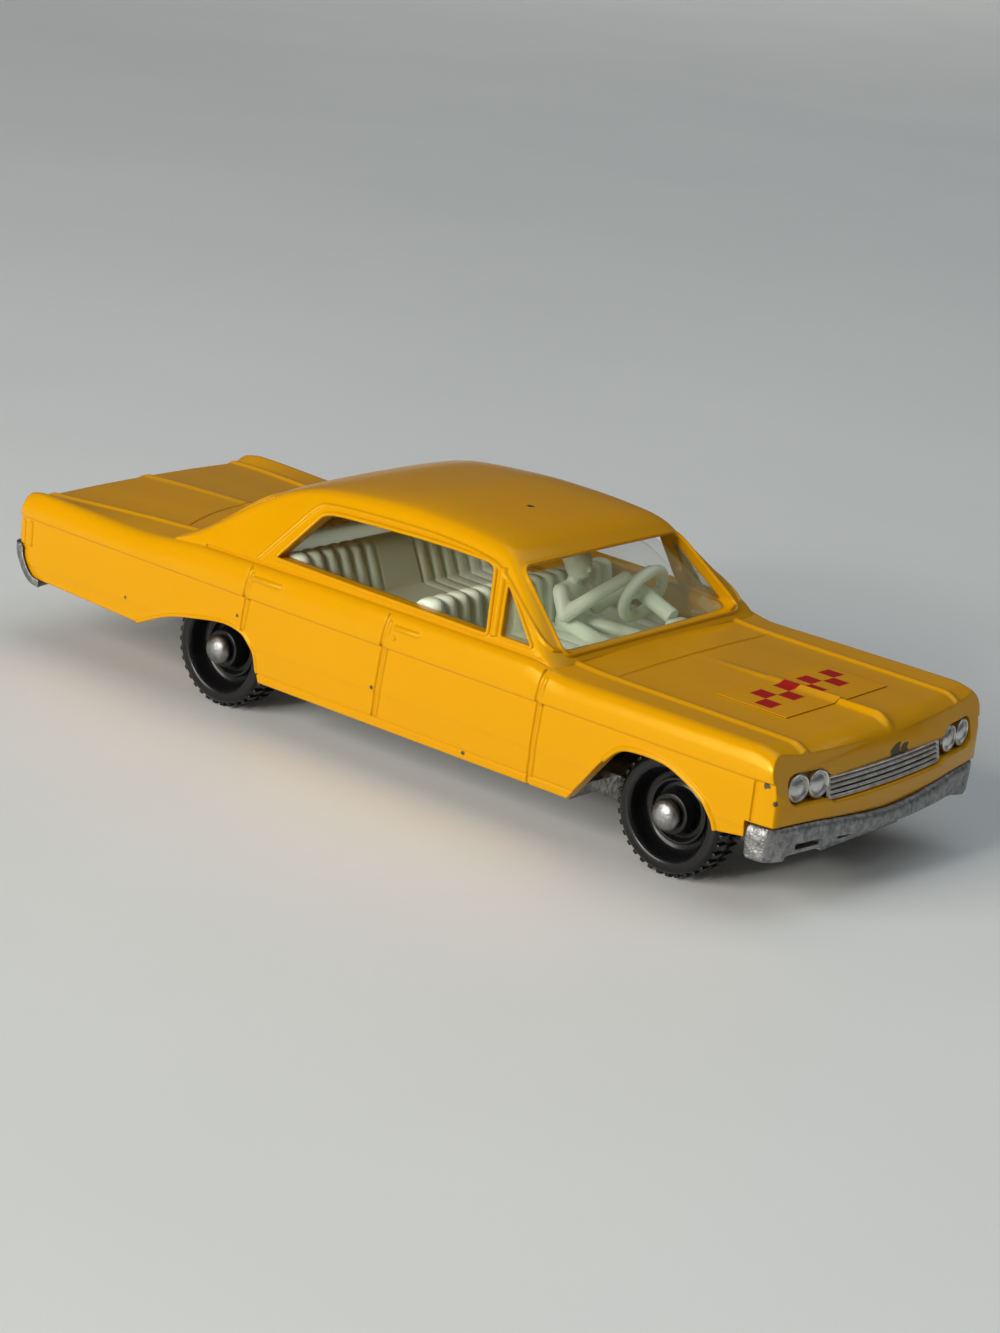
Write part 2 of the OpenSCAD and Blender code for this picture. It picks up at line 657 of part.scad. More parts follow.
module grille_panel() {
    w = half_w * grille_w_share;
    z = belt_z * grille_z_share;
    pitch = grille_h / bar_count;
    x = half_body - nose_t - fit_gap;
    plate_h = lamp_d + plate_t;
    plate_wide = half_w * lamp_shares[0] + lamp_d / 3;
    lamp_z = belt_z * lamp_z_share;
    face = half_body - lamp_set - lamp_set;
    color([0.66, 0.66, 0.67]) {
        translate([x - plate_t, -plate_wide, lamp_z - plate_h / 2])
            cube([plate_t, plate_wide + plate_wide, plate_h]);
        translate([0, 0, z - grille_h / 2]) bowed_bar(x - over, face - lamp_set, w, grille_h);
        for (i = [0:bar_count - 1])
            translate([0, 0, z - grille_h / 2 + i * pitch])
                bowed_bar(x - over, face, w, pitch * (1 - bar_gap_share));
        for (y = lamp_places) translate([x - over, y, lamp_z]) rotate([0, 90, 0]) {
            cylinder(d = lamp_d, h = face + bow_at(y) - x + over);
            cylinder(d1 = lamp_d - lamp_set, d2 = lamp_d / 2, h = face + bow_at(y) + lamp_set - x + over);
        }
    }
}

// Cabin floor with its rear wall, the shelf over the rear wheels, the dashboard and the door ledges
module interior_tub() {
    x0 = house_x(tub_shares[0]);
    inner = tub_wide - wall_t;
    shelf_z = wheel_d + side_gap;
    color([0.9, 0.89, 0.8]) {
        translate([tub_x0, -tub_wide, floor_z]) cube([tub_x1 - tub_x0, tub_wide + tub_wide, tub_t]);
        translate([tub_x0, -inner, floor_z]) cube([tub_t, inner + inner, dash_z - floor_z]);
        translate([x0, -inner, shelf_z]) cube([tub_x0 + tub_t - x0, inner + inner, dash_z - shelf_z]);
        translate([dash_x, -inner, floor_z]) cube([dash_l, inner + inner, dash_z - floor_z]);
        for (side = [-1, 1])
            translate([tub_x0, side * (tub_wide - tub_t / 2) - tub_t / 2, floor_z])
                cube([tub_x1 - tub_x0, tub_t, dash_z - wall_t - fit_gap - floor_z]);
    }
}

// Bench seat: a cushion and a leaning back with upright rolls
sill_wide = house_y(house_z(side_window_shares[0][1])) - wall_t * (1 + tumble_share / 3) - fit_gap;
bench_wide = min(tub_wide - tub_t, sill_wide) - fit_gap;
bench_l_share = 0.55;
bench_l = (dash_x - seat_front_x) * bench_l_share;
roll_depth_share = 0.35;
roll_steps = 6;
back_lean = 10;
back_run = (cushion_h + back_h) * sin(back_lean);
cushion_x = seat_front_x + back_run + back_t / 2 + bench_l;

// Front line of the rolls in plan; the middle rolls can be left out as a plain panel
function scallop(n, pitch, plain) = concat(
    [for (i = [0:n - 1], k = [0:roll_steps - 1])
        let (bare = plain && abs(i - roll_count) < 2, rise = bare ? 1 : sin(180 * k / roll_steps))
        [pitch * roll_depth_share * rise, pitch * (i + k / roll_steps) - bench_wide]],
    [[0, bench_wide]]);

module bench(x, plain) {
    n = roll_count + roll_count + 1;
    pitch = (bench_wide + bench_wide) / n;
    translate([x, 0, floor_top]) difference() {
        union() {
            translate([back_run + back_t, 0, 0]) rotate([0, -back_lean, 0])
                linear_extrude(height = cushion_h + back_h) polygon(concat(
                    [[-back_t, bench_wide], [-back_t, -bench_wide]],
                    scallop(n, pitch, plain)));
            translate([back_run + back_t / 2, -bench_wide, 0])
                cube([bench_l, bench_wide + bench_wide, cushion_h]);
        }
        translate([0, -half_w, -back_t]) cube([bench_l + bench_l, body_w, back_t]);
    }
}

module front_bench() {
    color([0.91, 0.9, 0.82]) bench(seat_front_x, false);
}

module rear_bench() {
    color([0.91, 0.9, 0.82]) bench(seat_rear_x, true);
}

// Driver: a plain moulded figure. Joints are forward as shares of the room to the dashboard,
// outward and up as shares of the figure's height
driver_x = seat_front_x + back_run + back_t + limb_d * 3 / 4;
driver_reach = dash_x - driver_x - limb_d;
driver_y_share = 0.35;
hip_shares = [0, 0.1, 0.13];
chest_shares = [0, 0.1, 0.46];
shoulder_shares = [0.02, 0.2, 0.5];
elbow_shares = [0.28, 0.25, 0.3];
neck_shares = [0.02, 0, 0.6];
head_shares = [0.05, 0, 0.8];
// Knees past the cushion as a share of a limb and apart, and feet in the room to the dashboard
knee_shares = [0.7, 0.3];
foot_share = 0.22;
// Hands on the ring: back, apart and up as shares of the ring
hand_shares = [0.16, 0.4, 0.3];

function joint(p) = [p[0] * driver_reach, p[1] * driver_h, p[2] * driver_h];

// One limb between two joints on one side of the figure
module limb(a, b, side, d) {
    hull() for (p = [a, b]) translate([p[0], side * p[1], p[2]]) sphere(d = d, $fn = 16);
}

module driver_figure() {
    hand = [ring_x - driver_x - ring_d * hand_shares[0],
        ring_d * hand_shares[1],
        ring_z - seat_z + ring_d * hand_shares[2]];
    knee = [cushion_x - driver_x + limb_d * knee_shares[0],
        driver_h * knee_shares[1],
        limb_d / 2 + fit_gap];
    foot = [knee[0] + (dash_x - cushion_x) * foot_share, knee[1], knee[2] - cushion_h];
    color([0.9, 0.89, 0.8]) translate([driver_x, half_w * driver_y_share, seat_z]) union() {
        hull() for (side = [-1, 1], p = [joint(hip_shares), joint(chest_shares)])
            translate([p[0], side * p[1], p[2]]) sphere(d = limb_d + limb_d / 4, $fn = 16);
        limb(joint(neck_shares), joint(head_shares), 1, limb_d);
        hull() translate(joint(head_shares)) sphere(d = driver_head_d, $fn = 24);
        for (side = [-1, 1]) {
            limb(joint(shoulder_shares), joint(elbow_shares), side, limb_d);
            limb(joint(elbow_shares), hand, side, limb_d);
            limb(joint(hip_shares), knee, side, limb_d);
            limb(knee, foot, side, limb_d);
        }
    }
}

// Steering ring with its column, tilted towards the driver
module steering_wheel() {
    color([0.92, 0.91, 0.84])
    translate([ring_x, half_w * driver_y_share, ring_z]) rotate([0, -column_lean, 0]) {
        rotate_extrude() translate([ring_d / 2 - rim_d / 2, 0]) circle(d = rim_d, $fn = 24);
        translate([0, 0, -column_l]) cylinder(r = rim_d, h = column_l + rim_d / 2);
        rotate([90, 0, 0]) cylinder(r = rim_d / 3, h = ring_d - rim_d, center = true);
    }
}

module window_glazing() {
    color([0.8, 0.86, 0.82, 0.5])
        loft([for (t = glaze_shares) ring_of(house_x(t), half_glaze(t))], true);
}

// Label on the hood: a thin sheet that follows the casting
label_x_share = 0.795;
label_steps = 4;

// Height of the hood beside the centre line
function hood_z(s, y) = let (r = half_w * lookup(s, crease_shares), h = half_section(s))
    lookup(y, [[0, h[13][1]], [crease_w, h[12][1]], [r / 2, h[11][1]], [r - crease_w, h[10][1]]]);

// Half of the label's section, its upper line and then its lower line
function half_label(s) = let (ys = [label_w / 2, label_w / 4, crease_w, 0])
    concat([for (y = ys) [y, hood_z(s, y) + fit_gap + label_t]],
        [for (i = [len(ys) - 1:-1:0]) [ys[i], hood_z(s, ys[i]) + fit_gap]]);

module hood_label() {
    x0 = label_x_share * half_body - label_len / 2;
    color([0.9, 0.55, 0.1]) loft([for (i = [0:label_steps])
        let (x = x0 + label_len * i / label_steps) ring_of(x, half_label(x / half_body))], true);
}

// Wheel, drawn on its axis with the inner face at zero: share of the radius, share of the width
wheel_profile_shares = [[0.42, 0], [0.86, 0], [0.953, 0.1], [0.953, 0.88], [0.9, 1], [0.745, 1],
    [0.7, 0.86], [0.64, 0.5], [0.53, 0.45], [0.53, 0.58], [0.47, 0.58], [0.45, 0.42], [0.36, 0.4]];
// Lugs: width of the two shoulder bands, inner radius of the band, and one lug round the tread
lug_band_shares = [[0.08, 0.38], [0.56, 0.86]];
lug_root_share = 0.8;
lug_shares = [[-0.27, 1], [0, 1], [0.27, 1], [0.33, 0], [0.67, 0]];

module tread_band(z0, z1, turn) {
    root = wheel_r - lug_h - run_gap;
    step = 360 / lug_count;
    translate([0, 0, z0]) rotate([0, 0, turn]) linear_extrude(height = z1 - z0) polygon([
        for (i = [0:lug_count - 1], k = lug_shares)
            let (r = k[1] * wheel_r + (1 - k[1]) * root, a = step * (i + k[0])) [r * cos(a), r * sin(a)]]);
}

module wheel_solid() {
    difference() {
        union() {
            rotate_extrude() polygon(concat(
                [[0, 0]],
                [for (p = wheel_profile_shares) [p[0] * wheel_r, p[1] * wheel_w]],
                [[hub_r, wheel_w - side_gap], [0, wheel_w - side_gap]]));
            difference() {
                for (b = lug_band_shares) tread_band(b[0] * wheel_w, b[1] * wheel_w, 90);
                translate([0, 0, -over]) cylinder(r = wheel_r * lug_root_share, h = wheel_w + over + over);
            }
        }
        translate([0, 0, -over]) cylinder(r = bore_r, h = wheel_w + over + over);
    }
}

// Places a wheel on the left (1) or on the right (-1)
module wheel_at(x, side) {
    color([0.06, 0.06, 0.065]) translate([x, side * wheel_in, wheel_r])
        rotate([-side * 90, 0, 0]) wheel_solid();
}

module wheel_front_left() {
    wheel_at(front_x, 1);
}

module wheel_front_right() {
    wheel_at(front_x, -1);
}

module wheel_rear_left() {
    wheel_at(rear_x, 1);
}

module wheel_rear_right() {
    wheel_at(rear_x, -1);
}

// Axle wire with a domed head at each end: share of the head's radius, share of its height
dome_shares = [[1, 0], [1, 0.3], [0.9, 0.6], [0.6, 0.88], [0.25, 0.98]];

module axle_at(x) {
    y = wheel_out;
    dome = [for (p = dome_shares) [p[0] * head_r, y + p[1] * head_h]];
    color([0.72, 0.72, 0.73]) translate([x, 0, wheel_r]) rotate([90, 0, 0]) rotate_extrude() polygon(concat(
        [[0, -y - head_h]],
        [for (i = [len(dome) - 1:-1:0]) [dome[i][0], -dome[i][1]]],
        [[axle_r, -y], [axle_r, y]],
        dome,
        [[0, y + head_h]]));
}

module front_axle() {
    axle_at(front_x);
}

module rear_axle() {
    axle_at(rear_x);
}

body_shell();
base_plate();
front_bumper();
rear_bumper();
grille_panel();
interior_tub();
front_bench();
rear_bench();
driver_figure();
steering_wheel();
window_glazing();
hood_label();
rivets();
front_axle();
rear_axle();
wheel_front_left();
wheel_front_right();
wheel_rear_left();
wheel_rear_right();
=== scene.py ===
# %% [markdown]
# # A pocket taxi, dressed on its own frame
# The toy is a small die-cast saloon car: a painted metal casting, a bare metal base with bumpers, a
# clear moulding for the windows, an ivory cabin and black wheels. Its solids come in as a fixed frame,
# in metres. Every piece below is drawn in millimetres on the same axes: X to the front, Y to the left,
# Z up.

# %% Load the frame
import math
from bisect import bisect_right

import bpy
from mathutils import Matrix, Vector


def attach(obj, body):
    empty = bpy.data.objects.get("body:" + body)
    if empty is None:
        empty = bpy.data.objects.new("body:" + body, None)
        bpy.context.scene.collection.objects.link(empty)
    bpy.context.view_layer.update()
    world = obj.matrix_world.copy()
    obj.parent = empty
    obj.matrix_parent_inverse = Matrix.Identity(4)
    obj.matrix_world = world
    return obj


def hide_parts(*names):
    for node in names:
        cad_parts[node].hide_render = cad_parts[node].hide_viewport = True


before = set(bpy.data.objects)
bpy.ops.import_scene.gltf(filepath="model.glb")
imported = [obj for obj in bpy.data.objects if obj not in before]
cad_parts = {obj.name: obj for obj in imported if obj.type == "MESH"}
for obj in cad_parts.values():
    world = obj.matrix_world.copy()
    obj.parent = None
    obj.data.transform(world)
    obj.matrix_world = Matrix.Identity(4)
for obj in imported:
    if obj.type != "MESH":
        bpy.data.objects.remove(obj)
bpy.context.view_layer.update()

MM = 0.001

# %% [markdown]
# ## The camera
# The view was fitted to pairs of points that lie on both sides of the car. It could be posed by hand, but
# a fitted place and three axes give the same picture each run. The lens is long, as for a close-up.

# %% Camera
CAMERA_AT = Vector((153.125, -193.846, 83.631)) * MM
SIGHT = [(.765675, .634908, .103119),
         (-.267938, .169074, .948485),
         (.584766, -.753860, .299572)]
LENS = 89.1


def added(operator, **settings):
    """Run an operator that adds an object, and return what it added."""
    bpy.ops.object.select_all(action="DESELECT")
    operator(**settings)
    return bpy.context.object


camera = added(bpy.ops.object.camera_add)
pose = Matrix(SIGHT).transposed().to_4x4()
pose.translation = CAMERA_AT
camera.matrix_world = pose
camera.data.lens = LENS
bpy.context.scene.camera = camera
print("camera", [round(c / MM, 1) for c in CAMERA_AT], "mm, lens", LENS)

# %% [markdown]
# ## Small tools for nodes
# A material is a small graph. One helper adds a node with its settings and fills its inputs with values
# or links, and another opens a shader node group, so that an effect such as grain is built once. The
# rest ask a socket for the graph that it belongs to.

# %% Node helpers
FACTOR, COLOUR_A, COLOUR_B, COLOUR_OUT = 0, 6, 7, 2  # sockets of a Mix node that blends colours


def wire(tree, kind, inputs=(), **settings):
    made = tree.nodes.new("ShaderNode" + kind)
    for key, value in settings.items():
        setattr(made, key, value)
    for key, value in dict(inputs).items():
        if isinstance(value, bpy.types.NodeSocket):
            tree.links.new(value, made.inputs[key])
        else:
            made.inputs[key].default_value = value
    return made


def math_node(operation, a, b=0.0):
    return wire(a.id_data, "Math", {0: a, 1: b}, operation=operation).outputs[0]


def blend_colour(mask, a, b):
    sockets = {FACTOR: mask, COLOUR_A: a, COLOUR_B: b}
    return wire(mask.id_data, "Mix", sockets, data_type="RGBA").outputs[COLOUR_OUT]


def spread(value, low, high):
    return wire(value.id_data, "MapRange", {"Value": value, "To Min": low, "To Max": high}).outputs[0]


def open_group(name, inputs, outputs):
    tree = bpy.data.node_groups.new(name, "ShaderNodeTree")
    for label, kind, start in inputs:
        socket = tree.interface.new_socket(label, in_out="INPUT", socket_type="NodeSocket" + kind)
        if start is not None:
            socket.default_value = start
    for label in outputs:
        tree.interface.new_socket(label, in_out="OUTPUT", socket_type="NodeSocketFloat")
    return tree, tree.nodes.new("NodeGroupInput").outputs, tree.nodes.new("NodeGroupOutput").inputs


def use_group(tree, group, inputs):
    return wire(tree, "Group", inputs, node_tree=group).outputs


print("node helpers ready")

# %% [markdown]
# ## Effects that several finishes share
# Cast metal, thick enamel and moulded plastic all show a fine grain, so grain is one group with its own
# size. Chips in the paint are ragged spots: a distance to a point, roughened by noise. Scratches are
# noise that is stretched along one axis and cut off high, which leaves thin bright streaks.

# %% Grain, ragged spots and scratches
grain, put, out = open_group(
    "Grain", [("Vector", "Vector", None), ("Scale", "Float", 1000.0), ("Patch", "Float", 80.0)],
    ["Shade", "Height"])
fine = wire(grain, "TexNoise", {
    "Vector": put["Vector"], "Scale": put["Scale"], "Detail": 4.0, "Roughness": .6})
wide = wire(grain, "TexNoise", {"Vector": put["Vector"], "Scale": put["Patch"], "Detail": 3.0})
grain.links.new(wide.outputs[0], out["Shade"])
grain.links.new(fine.outputs[0], out["Height"])

spot, put, out = open_group("Ragged spot", [
    ("Vector", "Vector", None), ("Centre", "Vector", None), ("Radius", "Float", .0005),
    ("Scale", "Float", 1800.0)], ["Mask"])
reach = wire(spot, "VectorMath", {0: put["Vector"], 1: put["Centre"]}, operation="DISTANCE").outputs[1]
rough = wire(spot, "TexNoise", {"Vector": put["Vector"], "Scale": put["Scale"], "Detail": 2.0}).outputs[0]
share = math_node("DIVIDE", reach, put["Radius"])
ragged = math_node("ADD", share, spread(rough, -.9, .9))
edge = wire(spot, "MapRange", {"Value": ragged, "From Min": .95, "From Max": .75}).outputs[0]
spot.links.new(edge, out["Mask"])

scratch, put, out = open_group("Scratches", [
    ("Vector", "Vector", None), ("Stretch", "Vector", (1.0, 1.0, 1.0)), ("Scale", "Float", 900.0),
    ("Level", "Float", .66)], ["Mask"])
drawn = wire(
    scratch, "VectorMath", {0: put["Vector"], 1: put["Stretch"]}, operation="MULTIPLY").outputs[0]
streak = wire(scratch, "TexNoise", {
    "Vector": drawn, "Scale": put["Scale"], "Detail": 3.0, "Distortion": .6}).outputs[0]
over_level = math_node("SUBTRACT", streak, put["Level"])
sharp = wire(scratch, "MapRange", {"Value": over_level, "From Max": .05}).outputs[0]
scratch.links.new(sharp, out["Mask"])
print("groups:", [g.name for g in bpy.data.node_groups])

# %% [markdown]
# ## The finishes
# Each finish starts from the Principled shader and gets its own grain, wear and bump. A Bevel node rounds
# the look of the cut edges, as thick paint does on a casting. Most finishes need only a grain, so one
# helper makes them whole.


# %% Finish helpers
def new_finish(name, **sockets):
    finish = bpy.data.materials.new(name)
    finish.use_nodes = True
    tree = finish.node_tree
    shader = tree.nodes["Principled BSDF"]
    for key, value in sockets.items():
        shader.inputs[key.replace("_", " ")].default_value = value
    place = wire(tree, "TexCoord").outputs["Object"]
    return finish, tree, shader, place


def feed(shader, **sockets):
    for key, value in sockets.items():
        shader.id_data.links.new(value, shader.inputs[key.replace("_", " ")])


def bumped(height, strength, depth, radius):
    tree = height.id_data
    soft = wire(tree, "Bevel", {"Radius": radius * MM}, samples=6).outputs[0]
    return wire(tree, "Bump", {
        "Height": height, "Strength": strength, "Distance": depth * MM, "Normal": soft}).outputs[0]


def grain_of(place, scale, patch):
    return use_group(place.id_data, grain, {"Vector": place, "Scale": scale, "Patch": patch})


def grained(name, scale, patch, colours, rough, bump, rough_by="Shade", **sockets):
    """A finish whose colour, roughness and bump all follow the grain."""
    finish, _, shader, place = new_finish(name, **sockets)
    looks = grain_of(place, scale, patch)
    feed(shader,
         Base_Color=blend_colour(looks["Shade"], *colours),
         Roughness=spread(looks[rough_by], *rough),
         Normal=bumped(looks["Height"], *bump))
    return finish


print("finish helpers ready")

# %% [markdown]
# The enamel is a warm yellow that leans to orange, laid on thick, so it is glossy and slightly uneven. A
# few small chips show the dark casting at the roof, over the grille, at the front corner and along the
# sill. They are given as points on the car, so that they stay where they are in every view.

# %% Yellow enamel
CHIPS = [
    ((4.9, -1.2, 20.2), .42), ((38.65, .8, 10.15), .75), ((38.6, 1.9, 10.15), .6),
    ((37.2, -13.3, 10.1), .28), ((37.9, -13.0, 8.9), .25), ((38.1, 6.8, 10.3), .3),
    ((37.6, 11.0, 10.9), .3), ((37.9, 8.7, 11.0), .25), ((10.4, -13.2, 4.4), .2),
    ((-25.7, -13.2, 13.0), .22), ((-25.2, -13.5, 6.9), .18), ((1.2, -13.4, 6.9), .16),
    ((-13.0, -13.4, 8.7), .16), ((22.3, -13.2, 4.5), .18), ((36.6, 1.0, 13.0), .25)]
CHIP_GRAIN = 900.0
YELLOW = [(.69, .315, 0.0, 1), (.635, .285, 0.0, 1)]
CASTING_GREY = (.075, .07, .055, 1)

enamel, tree, shader, place = new_finish(
    "yellow_enamel", Specular_IOR_Level=.55, Specular_Tint=(1.0, .75, .15, 1))
looks = grain_of(place, 700.0, 70.0)
bare = None
for at, radius in CHIPS:
    one = use_group(tree, spot, {
        "Vector": place, "Centre": Vector(at) * MM, "Radius": radius * MM,
        "Scale": CHIP_GRAIN / radius})["Mask"]
    bare = one if bare is None else math_node("MAXIMUM", bare, one)
paint = blend_colour(looks["Shade"], *YELLOW)
feed(shader,
     Base_Color=blend_colour(bare, paint, CASTING_GREY),
     Roughness=spread(math_node("ADD", bare, looks["Shade"]), .1, .33),
     Metallic=math_node("MULTIPLY", bare, .5),
     Normal=bumped(looks["Height"], .06, .12, .22))
print(enamel.name, "with", len(CHIPS), "chips")

# %% [markdown]
# The base and the bumpers are the bare casting: grey, mottled and rough. The axle is wire with the same
# mottled grain, and the grille and the lamps are the casting again, rubbed bright.

# %% Bare metals
METAL = {"rough_by": "Height", "Metallic": 1.0}
zinc = grained("bare_casting", 2600.0, 1900.0, [(0.0, 0.0, 0.0, 1), (.56, .56, .56, 1)],
               (.32, .6), (.75, .18, .12), **METAL)
steel = grained("axle_steel", 3000.0, 1200.0, [(.03, .03, .03, 1), (.5, .5, .5, 1)],
                (.26, .5), (.6, .1, .08), **METAL)
bright = grained("bright_casting", 2600.0, 1400.0, [(.25, .25, .24, 1), (.95, .95, .93, 1)],
                 (.25, .45), (.5, .1, .08), **METAL)
print(zinc.name, steel.name, bright.name)

# %% [markdown]
# The wheels are hard black plastic with a soft gloss. The cabin is ivory plastic, a little green, smooth
# from the mould. The window moulding is clear but old: it has a slight tint, a web of scratches and dust.
# At glancing views it grows less clear: partly its real gloss, partly a painted sheen of its pale colour.

# %% Plastics
black = grained("wheel_plastic", 2400.0, 500.0, [(.003, .003, .004, 1), (.009, .009, .01, 1)],
                (.18, .36), (.08, .06, .06),
                Coat_Weight=.1, Coat_Roughness=.14, Specular_IOR_Level=.32)
ivory = grained("cabin_plastic", 1500.0, 220.0, [(.73, .83, .64, 1), (.83, .91, .76, 1)],
                (.34, .5), (.08, .08, .1))

clear, tree, shader, place = new_finish("clear_plastic", Roughness=.06, IOR=1.5)
marks = use_group(tree, scratch, {
    "Vector": place, "Stretch": (1.0, .35, 1.6), "Scale": 420.0, "Level": .69})
looks = grain_of(place, 1800.0, 260.0)
# The facing weight makes the moulding less clear at glancing views: partly real gloss, partly a painted
# sheen of its pale colour, added to the scratches.
rim = wire(tree, "LayerWeight", {"Blend": .3}).outputs["Facing"]
dusty = math_node("MULTIPLY", marks["Mask"], .34)
sheen_and_scratches = math_node("ADD", spread(rim, .06, .28), dusty)
feed(shader,
     Base_Color=blend_colour(looks["Shade"], (.42, .47, .27, 1), (.56, .6, .42, 1)),
     Alpha=math_node("ADD", sheen_and_scratches, spread(looks["Shade"], -.02, .06)),
     Normal=bumped(looks["Height"], .03, .05, .1))
print(black.name, ivory.name, clear.name)

# %% [markdown]
# The hood label is a thin printed paper, yellow like the paint but a little browner. It carries a plain
# two-row red check band, which any taxi may have. Whole steps along the two axes count its squares, and
# every second one is red.

# %% Label paper
CHECK, CHECK_ROWS, CHECK_COLUMNS = 1.45, 2.0, 8.0
LABEL_AT = 30.35
paper, tree, shader, place = new_finish(
    "label_paper", Coat_Weight=.05, Coat_Roughness=.3, Specular_IOR_Level=.25)
axes = wire(tree, "SeparateXYZ", {0: place}).outputs
from_edge = math_node("SUBTRACT", axes[0], (LABEL_AT - CHECK) * MM)
along = math_node("DIVIDE", from_edge, CHECK * MM)
aside = math_node("DIVIDE", axes[1], CHECK * MM)
row, column = math_node("FLOOR", along), math_node("FLOOR", aside)
red = math_node("PINGPONG", math_node("ADD", row, column), 1.0)
for value, test, limit in ((along, "GREATER_THAN", 0.0), (along, "LESS_THAN", CHECK_ROWS),
                           (math_node("ABSOLUTE", aside), "LESS_THAN", CHECK_COLUMNS / 2)):
    red = math_node("MULTIPLY", red, math_node(test, value, limit))
looks = grain_of(place, 1600.0, 400.0)
ground = blend_colour(looks["Shade"], (.655, .295, 0.0, 1), (.6, .265, 0.0, 1))
ink = blend_colour(looks["Shade"], (.42, .005, .004, 1), (.33, .004, .003, 1))
feed(shader,
     Base_Color=blend_colour(red, ground, ink),
     Roughness=spread(looks["Shade"], .36, .5),
     Normal=bumped(looks["Height"], .05, .05, .05))
print(paper.name, "check", CHECK, "mm")

# %% [markdown]
# ## Light and floor
# The toy stands on a plain pale table by a window: broad soft light from the left of the camera, low
# enough to brighten the flank more than the roof, a small bright pane in it that glints on the edges, and
# a weak even light from all round. A narrow light that the toy doesn't see keeps the far table pale.

# %% Light and floor
TABLE_SIZE = 12  # metres
FLANK = (0, 0, 8)


def soft_box(name, at, aim, size, watts, colour):
    lamp = added(bpy.ops.object.light_add, type="AREA", location=Vector(at) * MM)
    lamp.name = name
    lamp.data.shape = "SQUARE"
    lamp.data.size = size * MM
    lamp.data.energy = watts
    lamp.data.color = colour
    lamp.rotation_euler = (Vector(aim) - Vector(at)).to_track_quat("-Z", "Y").to_euler()
    return lamp


soft_box("window_light", (-130, -600, 250), FLANK, 420, 4.1, (1.0, .965, .885))
soft_box("window_glint", (20, -620, 210), FLANK, 60, .9, (1.0, .97, .9))
soft_box("room_light", (160, 120, 660), (0, 0, 0), 800, 1.9, (.87, .95, 1.0))
far_light = soft_box("far_light", (-620, 780, 620), (-620, 780, 0), 760, 1.1, (1.0, .99, .96))
far_light.data.spread = math.radians(80)

world = bpy.context.scene.world or bpy.data.worlds.new("room")
bpy.context.scene.world = world
world.use_nodes = True
sky = world.node_tree.nodes["Background"]
seen = wire(world.node_tree, "LightPath").outputs["Is Camera Ray"]
world.node_tree.links.new(spread(seen, .08, .8), sky.inputs["Strength"])
sky.inputs["Color"].default_value = (.93, .96, 1.0, 1)

table, tree, shader, place = new_finish("pale_table", Roughness=.55)
looks = grain_of(place, 900.0, 22.0)
feed(shader,
     Base_Color=blend_colour(looks["Shade"], (.74, .755, .75, 1), (.82, .83, .82, 1)),
     Normal=wire(tree, "Bump", {
         "Height": looks["Height"], "Strength": .05, "Distance": .2 * MM}).outputs[0])
floor = added(bpy.ops.mesh.primitive_grid_add, x_subdivisions=8, y_subdivisions=8, size=TABLE_SIZE)
floor.name = "table"
floor.data.materials.append(table)
bpy.context.scene.view_settings.view_transform = "Standard"
print("light set, floor", [round(c, 1) for c in floor.dimensions], "m")

# %% [markdown]
# ## Small tools for shapes
# Operators act on what is selected, so each step first leaves one piece alone in the selection. A skin is
# drawn over rings of points, for shapes that no primitive comes near. Tubes are drawn as curves and made
# a mesh.

# %% Shape helpers
WELD = 1e-6  # metres


def alone(piece):
    bpy.ops.object.select_all(action="DESELECT")
    piece.select_set(True)
    bpy.context.view_layer.objects.active = piece


def outward(piece):
    alone(piece)
    bpy.ops.object.mode_set(mode="EDIT")
    bpy.ops.mesh.select_all(action="SELECT")
    bpy.ops.mesh.remove_doubles(threshold=WELD)
    bpy.ops.mesh.normals_make_consistent(inside=False)
    bpy.ops.object.mode_set(mode="OBJECT")
    return piece


def skin(name, rings):
    n = len(rings[0])
    points = [Vector(p) * MM for ring in rings for p in ring]
    faces = [(a * n + j, a * n + (j + 1) % n, (a + 1) * n + (j + 1) % n, (a + 1) * n + j)
             for a in range(len(rings) - 1) for j in range(n)]
    faces += [tuple(range(n)), tuple(range(len(points) - n, len(points)))]
    mesh = bpy.data.meshes.new(name)
    mesh.from_pydata(points, [], faces)
    piece = bpy.data.objects.new(name, mesh)
    bpy.context.collection.objects.link(piece)
    return outward(piece)


def prism(name, outline, lay, low, high):
    return skin(name, [[lay(u, v, w) for u, v in outline] for w in (low, high)])


def side_lay(x, z, y):
    return x, y, z


def front_lay(y, z, x):
    return x, y, z


def modified(piece, kind, **settings):
    alone(piece)
    bpy.ops.object.modifier_add(type=kind)
    step = piece.modifiers[-1]
    for key, value in settings.items():
        setattr(step, key, value)
    bpy.ops.object.modifier_apply(modifier=step.name)


def carve(target, tool, how="DIFFERENCE"):
    modified(target, "BOOLEAN", operation=how, solver="EXACT", object=tool)
    bpy.data.objects.remove(tool)


def join(name, pieces):
    alone(pieces[0])
    for other in pieces[1:]:
        other.select_set(True)
    bpy.ops.object.join()
    pieces[0].name = pieces[0].data.name = name
    return pieces[0]


def tube(name, path, radius, closed=False, sides=3):
    line = bpy.data.curves.new(name, "CURVE")
    line.dimensions = "3D"
    line.bevel_depth = radius * MM
    line.bevel_resolution = sides
    line.use_fill_caps = not closed
    run = line.splines.new("POLY")
    run.points.add(len(path) - 1)
    for point, place in zip(run.points, path):
        point.co = (*(Vector(place) * MM), 1.0)
    run.use_cyclic_u = closed
    piece = bpy.data.objects.new(name, line)
    bpy.context.collection.objects.link(piece)
    alone(piece)
    bpy.ops.object.convert(target="MESH")
    return outward(bpy.context.object)


def sized(piece, size, at):
    piece.scale, piece.location = size, at
    bpy.ops.object.transform_apply(location=True, rotation=True, scale=True)
    return piece


